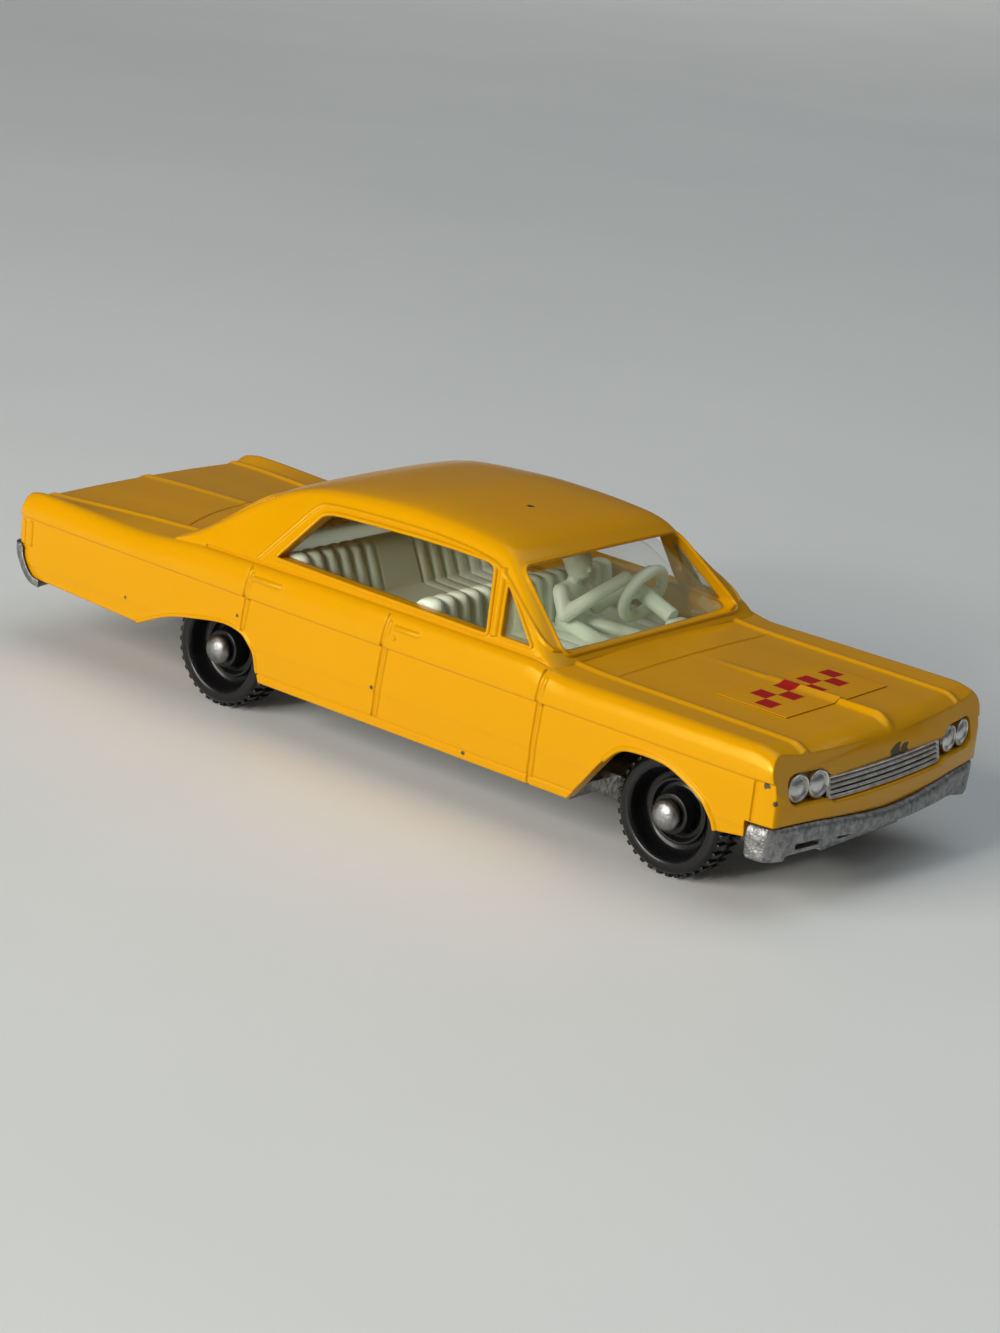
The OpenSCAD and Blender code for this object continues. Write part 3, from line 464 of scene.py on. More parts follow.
def block(name, low, high, radius, steps=3):
    low, high = Vector(low) * MM, Vector(high) * MM
    piece = sized(added(bpy.ops.mesh.primitive_cube_add, size=1), high - low, (low + high) / 2)
    piece.name = piece.data.name = name
    bpy.ops.object.mode_set(mode="EDIT")
    bpy.ops.mesh.select_all(action="SELECT")
    bpy.ops.mesh.bevel(offset=radius * MM, segments=steps, affect="EDGES")
    bpy.ops.object.mode_set(mode="OBJECT")
    return piece


def spun(name, profile, steps):
    """Draw a line of (radius, along Y) points by extruding a point, and spin it round the Y axis."""
    piece = added(bpy.ops.mesh.primitive_plane_add, size=MM)
    piece.name = piece.data.name = name
    bpy.ops.object.mode_set(mode="EDIT")
    bpy.ops.mesh.merge(type="CENTER")
    bpy.ops.transform.translate(value=(0, profile[0][1] * MM, profile[0][0] * MM))
    for (r0, y0), (r1, y1) in zip(profile, profile[1:]):
        step = (0, (y1 - y0) * MM, (r1 - r0) * MM)
        bpy.ops.mesh.extrude_region_move(TRANSFORM_OT_translate={"value": step})
    bpy.ops.mesh.select_all(action="SELECT")
    bpy.ops.mesh.spin(steps=steps, angle=2 * math.pi, center=(0, 0, 0), axis=(0, 1, 0))
    bpy.ops.object.mode_set(mode="OBJECT")
    return outward(piece)


def moved(piece, matrix):
    piece.data.transform(matrix)
    piece.data.update()
    return piece


def copied(piece, name, matrix):
    other = piece.copy()
    other.data = piece.data.copy()
    other.name = other.data.name = name
    bpy.context.collection.objects.link(other)
    return moved(other, matrix)


def shift(x, y, z):
    return Matrix.Translation(Vector((x, y, z)) * MM)


def dress(piece, finish, nodes, angle=35, body="car_body"):
    alone(piece)
    bpy.ops.object.shade_smooth_by_angle(angle=math.radians(angle))
    piece.data.materials.clear()
    piece.data.materials.append(finish)
    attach(piece, body)
    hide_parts(*nodes)
    size = [round(c / MM, 2) for c in piece.dimensions]
    print(piece.name, len(piece.data.polygons), "faces,", size, "mm")


print("shape helpers ready")

# %% [markdown]
# ## Smooth lines
# The casting is drawn from short tables: a place along the car, and a share of a width or height. A
# straight line from entry to entry would leave facets. A cubic that never overshoots gives the flowing
# lines of the real tool.

# %% Lines from tables
CORNER_SHARE = .48  # the most of a short side that one rounded corner takes up


def curve(table):
    xs, ys = zip(*table)
    slope = [(b - a) / (d - c) for a, b, c, d in zip(ys, ys[1:], xs, xs[1:])]
    lean = [slope[0]]
    for a, b in zip(slope, slope[1:]):
        lean.append(0.0 if a * b <= 0 else 2 * a * b / (a + b))
    lean.append(slope[-1])

    def at(x):
        x = min(max(x, xs[0]), xs[-1])
        i = max(0, min(len(xs) - 2, bisect_right(xs, x) - 1))
        h = xs[i + 1] - xs[i]
        t = (x - xs[i]) / h
        start = (1 + 2 * t) * (1 - t) ** 2 * ys[i] + t * (1 - t) ** 2 * h * lean[i]
        return start + t * t * (3 - 2 * t) * ys[i + 1] + t * t * (t - 1) * h * lean[i + 1]
    return at


def flowing(points, steps):
    """Points on a smooth line that passes through all the given points."""
    pts = [Vector(p) for p in points]
    line = []
    for i in range(len(pts) - 1):
        b, c = pts[i], pts[i + 1]
        a = pts[i - 1] if i > 0 else b * 2 - c
        d = pts[i + 2] if i + 2 < len(pts) else c * 2 - b
        for k in range(steps):
            t = k / steps
            line.append((b * 2 + (c - a) * t + (a * 2 - b * 5 + c * 4 - d) * t * t
                         + (b * 3 - a - c * 3 + d) * t ** 3) / 2)
    return line + [pts[-1]]


def rounded(points, steps=3, closed=False, radius=None):
    """Points of a line with its corners rounded; each point may carry its own radius."""
    n = len(points)
    line = []
    for i, p in enumerate(points):
        b = Vector(p[:2])
        if not closed and i in (0, n - 1):
            line.append(b)
            continue
        u, v = Vector(points[i - 1][:2]) - b, Vector(points[(i + 1) % n][:2]) - b
        r = radius or p[2]
        a = b + u.normalized() * min(r, CORNER_SHARE * u.length)
        c = b + v.normalized() * min(r, CORNER_SHARE * v.length)
        for k in range(steps + 1):
            t = k / steps
            line.append(a * (1 - t) ** 2 + b * 2 * t * (1 - t) + c * t * t)
    return line


def crossing(line, a):
    for (a0, b0), (a1, b1) in zip(line, line[1:]):
        if a0 <= a <= a1 and a1 > a0:
            return b0 + (b1 - b0) * (a - a0) / (a1 - a0)
    return line[-1][1]


def height_on(line, y):
    """Height of a section at a width, on its upper part, which runs inwards."""
    return crossing([(-b, c) for b, c in line], -y)


def width_on(line, z):
    """Width of a section at a height, on its side, which runs upwards."""
    return crossing([(c, b) for b, c in line], z)


print("line helpers ready")

# %% [markdown]
# ## The painted casting
# Doors, hood and trunk are one casting. It could be carved from a block, but its flanks, fins and raised
# lines change all the way along. So it is a skin over sections: each has the sill line, the faint line
# along the doors, the undercut crease, the shoulder, the raised line of hood or trunk, and the ridge in
# the middle.

# %% Sections of the casting
HALF_BODY, HALF_ALL, HALF_W = 38.2, 38.55, 13.7
SILL, CREASE, BELT, ROOF = 3.85, 10.45, 13.2, 20.4
WALL, LIFT = 1.0, .16
STATIONS, OVERRUN = 150, 1.02 * HALF_BODY
plan_at = curve([
    (-1, .972), (-.975, .987), (-.93, .996), (-.7, 1), (.75, 1), (.92, .998), (.97, .99), (1, .975)])
line_at = curve([(-1, 1.025), (0, 1), (1, .995)])
edge_at = curve([
    (-1, .935), (-.97, .958), (-.94, .97), (-.66, .946), (-.45, .99), (0, 1), (.4, .996), (.5, .952),
    (.68, .955), (.93, .955), (.97, .937), (1, .89)])
deck_at = curve([
    (-1, .88), (-.965, .935), (-.65, .966), (-.5, .985), (0, .99), (.42, .985), (.53, .968), (.95, .955),
    (.975, .925), (1, .87)])
mid_at = curve([
    (-1, .905), (-.96, .95), (-.65, .982), (-.5, .99), (0, .99), (.44, .985), (.53, .968), (.6, .97),
    (.94, .986), (.965, .955), (1, .8)])
raised_at = curve([(-1, .78), (-.93, .77), (-.63, .67), (.4, .72), (1, .72)])
ridge_at = curve([(-1, .9), (-.66, .6), (-.6, .1), (.55, .1), (.9, 2.2), (.95, 2.4), (.98, .4)])


def section(x):
    s = x / HALF_BODY
    w, c, e = HALF_W * plan_at(s), CREASE * line_at(s), BELT * edge_at(s)
    d, m, r = BELT * deck_at(s), BELT * mid_at(s), HALF_W * raised_at(s)
    b = m - LIFT * ridge_at(s)
    return rounded([
        (w - .62, SILL - .5, .02), (w - .6, SILL + .05, .15), (w - .5, 4.43, .06), (w - .6, 4.55, .05),
        (w - .46, 4.67, .06), (w - .36, 6.5, .2), (w - .29, 6.72, .2), (w - .28, c - .5, .2),
        (w - .31, c - .17, .05), (w - .02, c - .03, .08), (w, c + .2, .2), (w - .1, (c + e) / 2, .8),
        (w - .4, e - .36, .4), (w - .95, e, .4), (r + .45, d - LIFT, .15), (r + .14, d, .12),
        (r - .14, d, .12), (r - .45, d - LIFT, .15), (r / 2, (d - LIFT + b) / 2 + LIFT / 3, 1.5),
        (.55, b, .2), (.13, m, .1), (0, m)])


def mirrored(x, half):
    return [(x, -y, z) for y, z in half] + [(x, y, z) for y, z in reversed(half[:-1])]


def spaced(low, high, count):
    """Places that crowd towards both ends, where the shape turns fastest."""
    middle, half = (low + high) / 2, (high - low) / 2
    return [middle + half * math.sin(math.pi * (k / count - .5)) for k in range(count + 1)]


casting = skin("casting", [mirrored(x, section(x)) for x in spaced(-OVERRUN, OVERRUN, STATIONS)])
print("casting skin", len(casting.data.polygons), "faces")

# %% [markdown]
# A prism with the side outline gives the wheel arches, the raked nose and the tail. Another with the plan
# gives the rounded corners. Taking what the skin shares with both is like trimming a moulding on two saws.

# %% Arches, nose and tail
ACROSS = -15, 15  # from beyond one flank to beyond the other
WHEEL_R, FRONT_X, REAR_X = 4.7, 28.05, -16.35
BAND_D, BAND_H, BAND_Z, BAND_T, BAND_SEAT = 2.9, 3.3, 5, .6, .68
NOSE_BACK, LEDGE_Z, DIP, DIP_SPAN = 35.8, 7.13, .6, 11
FRONT_ARCH = [
    (-1.02, 1.65), (-.78, 1.88), (-.5, 1.97), (.08, 1.965), (.5, 1.82), (.87, 1.6), (1.06, 1.36),
    (1.13, 1.19)]
REAR_ARCH = [
    (-1.62, 1.105), (-.87, 1.425), (-.17, 1.58), (.4, 1.66), (.79, 1.61), (.98, 1.49), (1.13, 1.29),
    (1.2, .98)]
BAND = [(0, 1, 1, 0), (.04, .7, .97, .25), (.3, .3, .8, .6), (.6, .07, .45, .9), (1, 0, 0, 1)]


def arch(shares, x):
    return flowing([(x + a * WHEEL_R, b * WHEEL_R) for a, b in shares], 5)


def band_line(inset):
    return [(-HALF_ALL + BAND_D * a + inset * u, BAND_Z + BAND_H * b + inset * v) for a, b, u, v in BAND]


def dip(y):
    """How far the lower edge of the nose, and the bumper with it, hangs down towards the middle."""
    return DIP * (1 + math.cos(math.pi * min(abs(y), DIP_SPAN) / DIP_SPAN)) / 2


seat_line = band_line(BAND_SEAT)
front_line = [
    (NOSE_BACK, 5.92), (NOSE_BACK, LEDGE_Z - DIP), (38.05, LEDGE_Z - DIP), (38.22, 7.4), (38.28, 8.13),
    (37.2, BELT), (37.2, ROOF)]
back_line = [(-37.2, ROOF), (-37.2, BELT), (-38.28, 9.3), (seat_line[0][0], 8.38)]
sill_line = [(REAR_X + 1.23 * WHEEL_R, SILL), (FRONT_X - 1.66 * WHEEL_R, SILL)]
side_outline = (flowing(seat_line, 5) + arch(REAR_ARCH, REAR_X) + sill_line + arch(FRONT_ARCH, FRONT_X)
                + front_line + back_line)
carve(casting, prism("side", side_outline, side_lay, *ACROSS), "INTERSECT")
carve(casting, skin("under_nose", [
    [(NOSE_BACK - .01, y, 5), (39.5, y, 5), (39.5, y, LEDGE_Z - dip(y)),
     (NOSE_BACK - .01, y, LEDGE_Z - dip(y))] for y in range(-15, 16)]))

corner_at = curve([(0, .998), (.6, .9985), (.88, 1), (.93, .998), (.97, .9915), (.99, .979), (1, .962)])
end_line = [(HALF_BODY * corner_at(abs(k) / 40), HALF_W * k / 40) for k in range(-40, 41)]
plan_outline = end_line + [(-x, -y) for x, y in end_line]
carve(casting, prism("plan", plan_outline, lambda x, y, z: (x, y, z), -1, 22), "INTERSECT")
print("trimmed casting", [round(c / MM, 2) for c in casting.dimensions], "mm")

# %% [markdown]
# The cabin leans in towards the roof. It is a second skin, whose rings follow the roof edge and the crown
# from the rear screen over the roof and down the windscreen. It is joined to the casting, and then both
# are hollowed.

# %% Cabin
HOUSE_X, HOUSE_LEN, HOUSE_H, HOUSE_W, TUMBLE = -20.95, 38.5, 7.2, 12.7, .54
HOUSE_RINGS, SLANT = 110, 1.18  # SLANT: a leaning wall, measured level
rail_at = curve([
    (0, -.05), (.085, .125), (.164, .37), (.223, .61), (.273, .73), (.35, .785), (.47, .806), (.63, .8),
    (.757, .745), (.79, .725), (.82, .645), (.904, .31), (.977, -.02), (1, -.1)])
crown_at = curve([
    (0, 0), (.026, .06), (.182, .66), (.266, .82), (.333, .895), (.44, .96), (.547, 1), (.65, .99),
    (.757, .945), (.805, .88), (.834, .77), (.997, -.02), (1, -.04)])
ROOF_TURN = [(1, 0), (.965, .4), (.88, .72), (.62, .91), (.3, .98), (0, 1)]


def house_x(t):
    return HOUSE_X + t * HOUSE_LEN


def house_z(u):
    return BELT + u * HOUSE_H


def house_y(z):
    return min(HOUSE_W - TUMBLE * (z - BELT), HOUSE_W)


def roof_half(t, inset):
    rail, crown = house_z(rail_at(t)), house_z(crown_at(t))
    y = house_y(rail) - inset * SLANT
    return flowing([(y * a, rail - inset + b * (crown - rail)) for a, b in ROOF_TURN], 4)


def house_half(t, inset):
    roof = roof_half(t, inset)
    y = HOUSE_W - inset * SLANT
    return [(y, CREASE), (y, min(BELT, roof[0][1] - .5))] + roof


def house_skin(name, inset):
    shares = [k / HOUSE_RINGS for k in range(HOUSE_RINGS + 1)]
    return skin(name, [mirrored(house_x(t), house_half(t, inset)) for t in shares])


carve(casting, house_skin("cabin", 0), "UNION")
print("casting with cabin", len(casting.data.polygons), "faces")


# %% Hollow
def hollow_half(x):
    s = x / HALF_BODY
    w = HALF_W * plan_at(s) - 1.6
    e = BELT * min(edge_at(s), deck_at(s)) - LIFT - WALL
    m = BELT * mid_at(s) - LIFT * ridge_at(s) - WALL
    return [(w, SILL - 1), (w, e - WALL), (w - WALL, e), (0, min(e, m))]


hollow = skin("hollow", [mirrored(x, hollow_half(x)) for x in spaced(-36.6, 36.4, 40)])
tail_wall = [(-33.38, 0), (-36.6, 8.3), (-36.6, 21), (37, 21), (37, 0)]
carve(hollow, prism("tail_wall", tail_wall, side_lay, *ACROSS), "INTERSECT")
carve(casting, hollow)
carve(casting, house_skin("cabin_room", WALL))
print("hollow casting", len(casting.data.polygons), "faces")

# %% [markdown]
# The windows are cut straight through with prisms that have rounded corners: a long side window with no
# middle post, a small vent window behind the windscreen pillar, the windscreen and the rear screen.

# %% Windows
SIDE_WINDOW = [
    (.27, .088), (.545, .066), (.83, .05), (.785, .66), (.768, .697), (.68, .708), (.59, .705),
    (.475, .688), (.39, .67), (.36, .655), (.34, .62)]
VENT_WINDOW = [(.858, .07), (.938, .07), (.852, .46), (.836, .53), (.826, .55)]
WINDSCREEN = [(.825, .015), (.855, .065), (.755, .675), (.71, .725), (0, .745)]
REAR_SCREEN = [(.76, .1), (.79, .15), (.71, .5), (.66, .56), (0, .58)]


def window_line(shares, steps, radius):
    return rounded([(house_x(t), house_z(u)) for t, u in shares], steps, True, radius)


def screen_line(shares, radius):
    half = [(a * HOUSE_W, house_z(u)) for a, u in shares]
    return rounded(half + [(-y, z) for y, z in reversed(half[:-1])], 3, True, radius)


side_line, vent_line = window_line(SIDE_WINDOW, 3, .35), window_line(VENT_WINDOW, 3, .25)
wind_line, rear_line = screen_line(WINDSCREEN, .5), screen_line(REAR_SCREEN, .5)
carve(casting, prism("side_window", side_line, side_lay, *ACROSS))
carve(casting, prism("vent_window", vent_line, side_lay, *ACROSS))
carve(casting, prism("windscreen", wind_line, front_lay, house_x(.78), house_x(1.02)))
carve(casting, prism("rear_screen", rear_line, front_lay, house_x(-.02), house_x(.24)))
print("windows cut,", len(casting.data.polygons), "faces")

# %% [markdown]
# The door gaps, the belt line and the ends of hood and trunk are fine grooves in the casting. Each is a
# thin round bar that lies half sunk along the surface and is cut away, so the paint seems to run into it.

# %% Grooves
SIDE_POINTS = 20  # points of a section that lie well below the deck
DOOR_LINES = [
    ((-11.95, 12.95), (-12.6, 6.5)), ((2.25, 12.95), (1.4, 4.62)), ((17.15, 12.75), (16.55, 3.5)),
    ((36.35, 10.2), (36.3, 7.2))]
HOOD_X, HOOD_W, TRUNK_X, TRUNK_W, TRUNK_BEND = 20.9, 9.6, -25.2, 8.7, 1.9


def on_side(side, x, z, lift=0.0):
    return x, side * (width_on(section(x), z) + lift), z


def on_deck(x, y, lift=0.0):
    return x, y, height_on(section(x)[SIDE_POINTS:], abs(y)) + lift


def straight(a, b, count):
    return [Vector(a).lerp(Vector(b), k / count) for k in range(count + 1)]


def level(low, high, count):
    return [x for x, _ in straight((low, 0), (high, 0), count)]


def on_belt(side, x):
    s = x / HALF_BODY
    return x, side * (HALF_W * plan_at(s) - .98), BELT * edge_at(s) + .05


grooves = []
for side in (-1, 1):
    for a, b in DOOR_LINES:
        grooves.append(([on_side(side, x, z, .02) for x, z in straight(a, b, 28)], .16))
    grooves.append(([on_belt(side, x) for x in level(-17.5, 17.6, 40)], .14))
grooves.append(([on_deck(HOOD_X, y, .01) for y in level(-HOOD_W, HOOD_W, 24)], .12))
grooves.append(([on_deck(TRUNK_X + TRUNK_BEND * (y / TRUNK_W) ** 2, y, .01)
                 for y in level(-TRUNK_W, TRUNK_W, 24)], .12))
for side in (-1, 1):
    quarter = [(t / 100, .93 * house_y(house_z(rail_at(t / 100)))) for t in range(4, 21)]
    grooves.append(([(house_x(t), side * y, height_on(roof_half(t, 0), y)) for t, y in quarter], .15))
for path, radius in grooves:
    carve(casting, tube("groove", path, radius, sides=2))
print(len(grooves), "grooves,", len(casting.data.polygons), "faces")

# %% [markdown]
# The nose has one long recess for the grille and the four lamps, and the tail a shallow one for its lamps.
# Spun lamp bosses stand in the tail recess, painted over like the rest.

# %% Nose and tail recesses
NOSE_HALF = [
    (6.9, 8.02), (7.5, 8.38), (11.2, 8.45), (11.8, 8.9), (11.85, 10.25), (11.35, 10.7), (8.2, 10.68),
    (7.2, 9.97)]
TAIL_Z, TAIL_H, TAIL_W = 10.75, 1.3, 10.7
BOSS = [(0, .45), (.45, .43), (.6, .3), (.72, .38), (.82, .36), (.9, .22), (.9, -.6), (0, -.6)]


def both_halves(half):
    return half + [(-y, z) for y, z in reversed(half)]


carve(casting, prism("nose", rounded(both_halves(NOSE_HALF), 3, True, .35), front_lay, 36.9, 39.2))
tail_half = [(TAIL_W, TAIL_Z - TAIL_H), (TAIL_W, TAIL_Z + TAIL_H)]
carve(casting, prism("tail", rounded(both_halves(tail_half), 3, True, .5), front_lay, -39.2, -37.8))
boss = spun("boss", BOSS, 40)
moved(boss, Matrix.Rotation(math.radians(90), 4, "Z"))
trim = [copied(boss, "tail_lamp", shift(-37.8, y, TAIL_Z - .15)) for y in (-9.6, -6.9, 6.9, 9.6)]
bpy.data.objects.remove(boss)
print("recesses cut,", len(trim), "tail lamp bosses")

# %% [markdown]
# Thick paint rounds every frame. Thin bars lie along the window openings, the roof gutter, the wheel arches
# and the screens, with the door handles and the upright strips at the tail. They belong to the same
# casting, so they join it. Last, the middle of the nose is pushed out.

# %% Raised trim
NOSE_BOW, BOW_SPAN = 1.08, .9 * HALF_W
BOW_FROM, BOW_RUN = 29, 7


def bulge(y):
    """Share of a bow at a place across the car."""
    return max(0, 1 - (y / BOW_SPAN) ** 2)


def bowed(piece):
    """Push the middle of the nose forwards, and let the push fade out along the hood."""
    for point in piece.data.vertices:
        x, y = point.co.x / MM, point.co.y / MM
        ramp = min(max((x - BOW_FROM) / BOW_RUN, 0), 1)
        point.co.x += NOSE_BOW * bulge(y) * ramp * ramp * (3 - 2 * ramp) * MM
    return piece


def on_house(side, x, z, lift=0.0):
    t = (x - HOUSE_X) / HOUSE_LEN
    return x, side * (width_on(house_half(t, 0), z) + lift), z


def on_screen(y, z, front):
    low, high = (.78, 1.0) if front else (.26, 0.0)
    for _ in range(24):
        t = (low + high) / 2
        low, high = (t, high) if height_on(roof_half(t, 0), abs(y)) > z else (low, t)
    return house_x(low), y, z


GUTTER = [
    (-12.1, 13.4), (-10.3, 15.85), (-8.6, 18.0), (-7.2, 18.4), (-3, 18.62), (3, 18.7), (8.0, 18.35),
    (10.2, 17.7), (13.6, 15.6), (17.0, 13.4)]
HANDLE_Z, HANDLES = 12.1, ((-11.6, -8.6), (3.0, 5.4))
DOOR_FEET, EDGE_STEP = (1.3, .2, 1.1), .34
post = straight((house_x(.845), house_z(.05)), (house_x(.804), house_z(.66)), 12)
ALONG = [
    (on_house, side_line, 0, .16, True), (on_house, vent_line, 0, .13, True),
    (on_house, flowing(GUTTER, 6), -.02, .15, False), (on_house, post, -.14, .34, False),
    (on_side, arch(FRONT_ARCH, FRONT_X), -.05, .2, False),
    (on_side, arch(REAR_ARCH, REAR_X), -.06, .15, False)]
for side in (-1, 1):
    for lay, line, lift, radius, closed in ALONG:
        trim.append(tube("trim", [lay(side, x, z, lift) for x, z in line], radius, closed))
    for x0, x1 in HANDLES:
        handle = [(x0, -.14), (x0 + .15, -.04), (x1 - .15, -.04), (x1, -.14)]
        trim.append(tube("handle", [on_side(side, x, HANDLE_Z, h) for x, h in handle], .2))
    for ((x0, z0), (x1, z1)), foot in zip(DOOR_LINES, DOOR_FEET):
        edge = straight((x0 + EDGE_STEP, z0 - .5), (x1 + EDGE_STEP, z1 + foot), 28)
        edge = [on_side(side, x, z) for x, z in edge]
        edge = [(x, side * min(side * y - .04, HALF_W - .15), z) for x, y, z in edge]
        trim.append(tube("door_edge", edge, .13))
    trim.append(tube("lock", [on_side(side, 3.1, 11.35, h) for h in (-.15, .05)], .18))
    for x in (-36.5, -37.4):
        trim.append(tube("strip", [on_side(side, x, z, -.03) for z in (10.3, 9.4, 8.3)], .16))
trim.append(tube("frame", [on_screen(y, z, True) for y, z in wind_line], .17, True))
trim.append(tube("frame", [on_screen(y, z, False) for y, z in rear_line], .17, True))
count = len(trim)
casting = bowed(join("casting", [casting] + trim))
dress(casting, enamel, ["body_shell"], 32)
print(count, "bars of trim joined")

# %% [markdown]
# ## The hood label
# The label is a thin sheet that follows the hood over its middle ridge. A grid is laid on the hood point by
# point, and Solidify gives it the thickness of paper.

# %% Hood label
LABEL_L, LABEL_W, LABEL_LIFT, LABEL_T = 5.6, 12.9, .06, .05
label = added(bpy.ops.mesh.primitive_grid_add, x_subdivisions=14, y_subdivisions=40, size=1)
for point in label.data.vertices:
    x, y = LABEL_AT + point.co.x * LABEL_L, point.co.y * LABEL_W
    point.co = Vector(on_deck(x, y, LABEL_LIFT)) * MM
modified(bowed(label), "SOLIDIFY", thickness=LABEL_T * MM, offset=0)
label.name = label.data.name = "label"
dress(label, paper, ["hood_label"])

# %% [markdown]
# ## Grille and lamps
# Bars run across the nose between two pairs of lamps, all cast with the base and left bare. The bars are
# tubes that follow the nose in plan. One lamp is spun from its outline, with a rim and a low dome, and
# copied four times.

# %% Grille and lamps
NOSE_Z, NOSE_PROUD, RAKE_RUN, RAKE_RISE, SINK = 8.13, .08, 1.08, 5.07, .55
BARS, BAR_LOW, BAR_STEP, GRILLE_W = 5, 8.2, .375, 7.0
LAMP_Z, LAMP_YS = 9.57, (-10.62, -8.49, 8.49, 10.62)
LAMP = [(0, .42), (.3, .4), (.6, .3), (.74, .16), (.8, .16), (.86, .34), (.95, .38), (1.04, .3), (1.05, .1),
        (1.05, -.7), (0, -.7)]


def nose_x(y, z):
    return HALF_BODY * corner_at(abs(y) / HALF_W) + NOSE_PROUD - RAKE_RUN * (z - NOSE_Z) / RAKE_RISE


plate_half = [(y * .985, z + (.06 if z < 9 else -.06)) for y, z in NOSE_HALF]
nose_metal = [prism("plate", rounded(both_halves(plate_half), 2, True, .3), front_lay, 36.75, 37.12)]
for k in range(BARS):
    z = BAR_LOW + BAR_STEP * k
    path = [(nose_x(y, z) - SINK, y, z) for y in level(-GRILLE_W, GRILLE_W, 30)]
    nose_metal.append(tube("bar", path, .13 if k % 4 else .17))
for y in (-7.1, 7.1):
    nose_metal.append(tube("bar", [(nose_x(y, z) - SINK, y, z) for z in (8.2, 9.0, 9.72)], .2))
lamp = spun("lamp", LAMP, 48)
moved(lamp, Matrix.Rotation(math.radians(-90), 4, "Z"))
for y in LAMP_YS:
    nose_metal.append(copied(lamp, "lamp", shift(nose_x(y, LAMP_Z) - .45, y, LAMP_Z)))
bpy.data.objects.remove(lamp)
nose_metal = bowed(join("nose_metal", nose_metal))
dress(nose_metal, bright, ["grille_panel"])

# %% [markdown]
# ## Bumpers
# The front bumper is a heavy bar with a rounded upper roll and a set-back lower face, and it turns round
# the wings. Its section is swept along the plan. The rear bumper is a thin band that turns under the tail,
# so its profile is swept across the car, and its outer face bows like the nose, but half as far.

# %% Front bumper
BAR_Z, BAR_MID, BAR_CORE, FACE_END = 4.45, 1.3, .8, 11.7
bar_section = rounded([
    (.1, 0, .25), (.05, 1.0, .2), (.0, 1.35, .3), (0, 2.35, .3), (.3, 2.6, .25), (1.4, 2.6, .2),
    (1.5, 0, .2)], 3, True)
bar_half = flowing([
    (38.55, 0), (38.52, 5), (38.47, 8.22), (38.36, 11.37), (38.14, 12.55), (37.7, 13.2), (37.1, 13.42),
    (36.5, 13.44), (35.95, 13.44)], 5)
bar_path = [(x, -y) for x, y in reversed(bar_half[1:])] + bar_half
rings = []
for i, (x, y) in enumerate(bar_path):
    x0, y0 = bar_path[max(i - 1, 0)]
    x1, y1 = bar_path[min(i + 1, len(bar_path) - 1)]
    run = Vector((x1 - x0, y1 - y0)).normalized()
    from_end = min(i, len(bar_path) - 1 - i)
    ease = (.18, .06, 0)[min(from_end, 2)]
    under = .75 * min(1, max(0, FACE_END - abs(y))) + .3 * dip(y) / DIP
    rings.append([(x - run.y * ((n + (under if z < 1.2 and n < 1 else 0)) * (1 - ease) + ease * BAR_CORE),
                   y + run.x * (n * (1 - ease) + ease * BAR_CORE),
                   BAR_Z + BAR_MID + (z - BAR_MID) * (1 - ease) - dip(y) * min(1, z / BAR_MID))
                  for n, z in bar_section])
front_bar = skin("front_bar", rings)
for y in (-8.6, 8.6):
    carve(front_bar, block("slot", (36.9, y - 1.3, 4.85), (39.2, y + 1.3, 5.5), .18))
carve(front_bar, block("slot", (37.2, -5.2, 4.75), (39.2, 5.2, 5.3), .15))
front_bar = bowed(front_bar)
dress(front_bar, zinc, ["front_bumper"], 40)

# %% Rear bumper
TAIL_BOW, BAND_END = .52, 13.5
outer = flowing(band_line(0), 4)
band = outer + flowing(band_line(BAND_T), 4)[::-1]
middle = sum(band, Vector((0, 0))) / len(band)
rings = []
for y in spaced(-BAND_END, BAND_END, 48):
    ease = .12 if abs(y) > 13.45 else .03 if abs(y) > 13.3 else 0
    back = HALF_BODY * (1 - corner_at(abs(y) / HALF_W))
    pushed = [TAIL_BOW * bulge(y) * (1 - (p.x - outer[0].x) / BAND_D) for p in outer]
    pushed += [0] * (len(band) - len(outer))
    eased = [p.lerp(middle, ease) for p in band]
    rings.append([(p.x + back - push, y, p.y) for p, push in zip(eased, pushed)])
rear_bar = skin("rear_bar", rings)
dress(rear_bar, zinc, ["rear_bumper"], 40)

# %% [markdown]
# ## The cabin
# Floor, door ledges, dashboard and rear shelf are one ivory moulding with soft edges. Each part is a cube
# with its edges bevelled in edit mode, and the parts are joined.

# %% Cabin tub
TUB_X0, TUB_X1, FLOOR_Z, FLOOR_TOP, DASH_Z = -11.05, 16.59, 7.15, 7.95, 11.86
tub = [
    block("floor", (TUB_X0, -12.0, FLOOR_Z), (TUB_X1, 12.0, FLOOR_TOP), .1),
    block("wall", (TUB_X0, -11, FLOOR_Z), (TUB_X0 + .8, 11, DASH_Z), .25),
    block("shelf", (-19.6, -11, 9.7), (TUB_X0 + .8, 11, DASH_Z), .3),
    block("dash", (14.4, -11, FLOOR_Z), (TUB_X1, 11, DASH_Z), .6, 5),
    block("binnacle", (13.8, 5.4, 10.6), (15.3, 7.6, 12.6), .5, 5)]
for y0, y1 in ((-12, -11.2), (11.2, 12)):
    tub.append(block("ledge", (TUB_X0, y0, FLOOR_Z), (TUB_X1, y1, 10.78), .2))
tub = join("cabin_tub", tub)
dress(tub, ivory, ["interior_tub"])

# %% [markdown]
# The seats have upright rolls, like old tuck-and-roll upholstery but moulded in hard plastic. One outline
# of seat and back is swept across the car, and it swells and pinches with each roll. The rear seat has a
# plain panel in its middle.

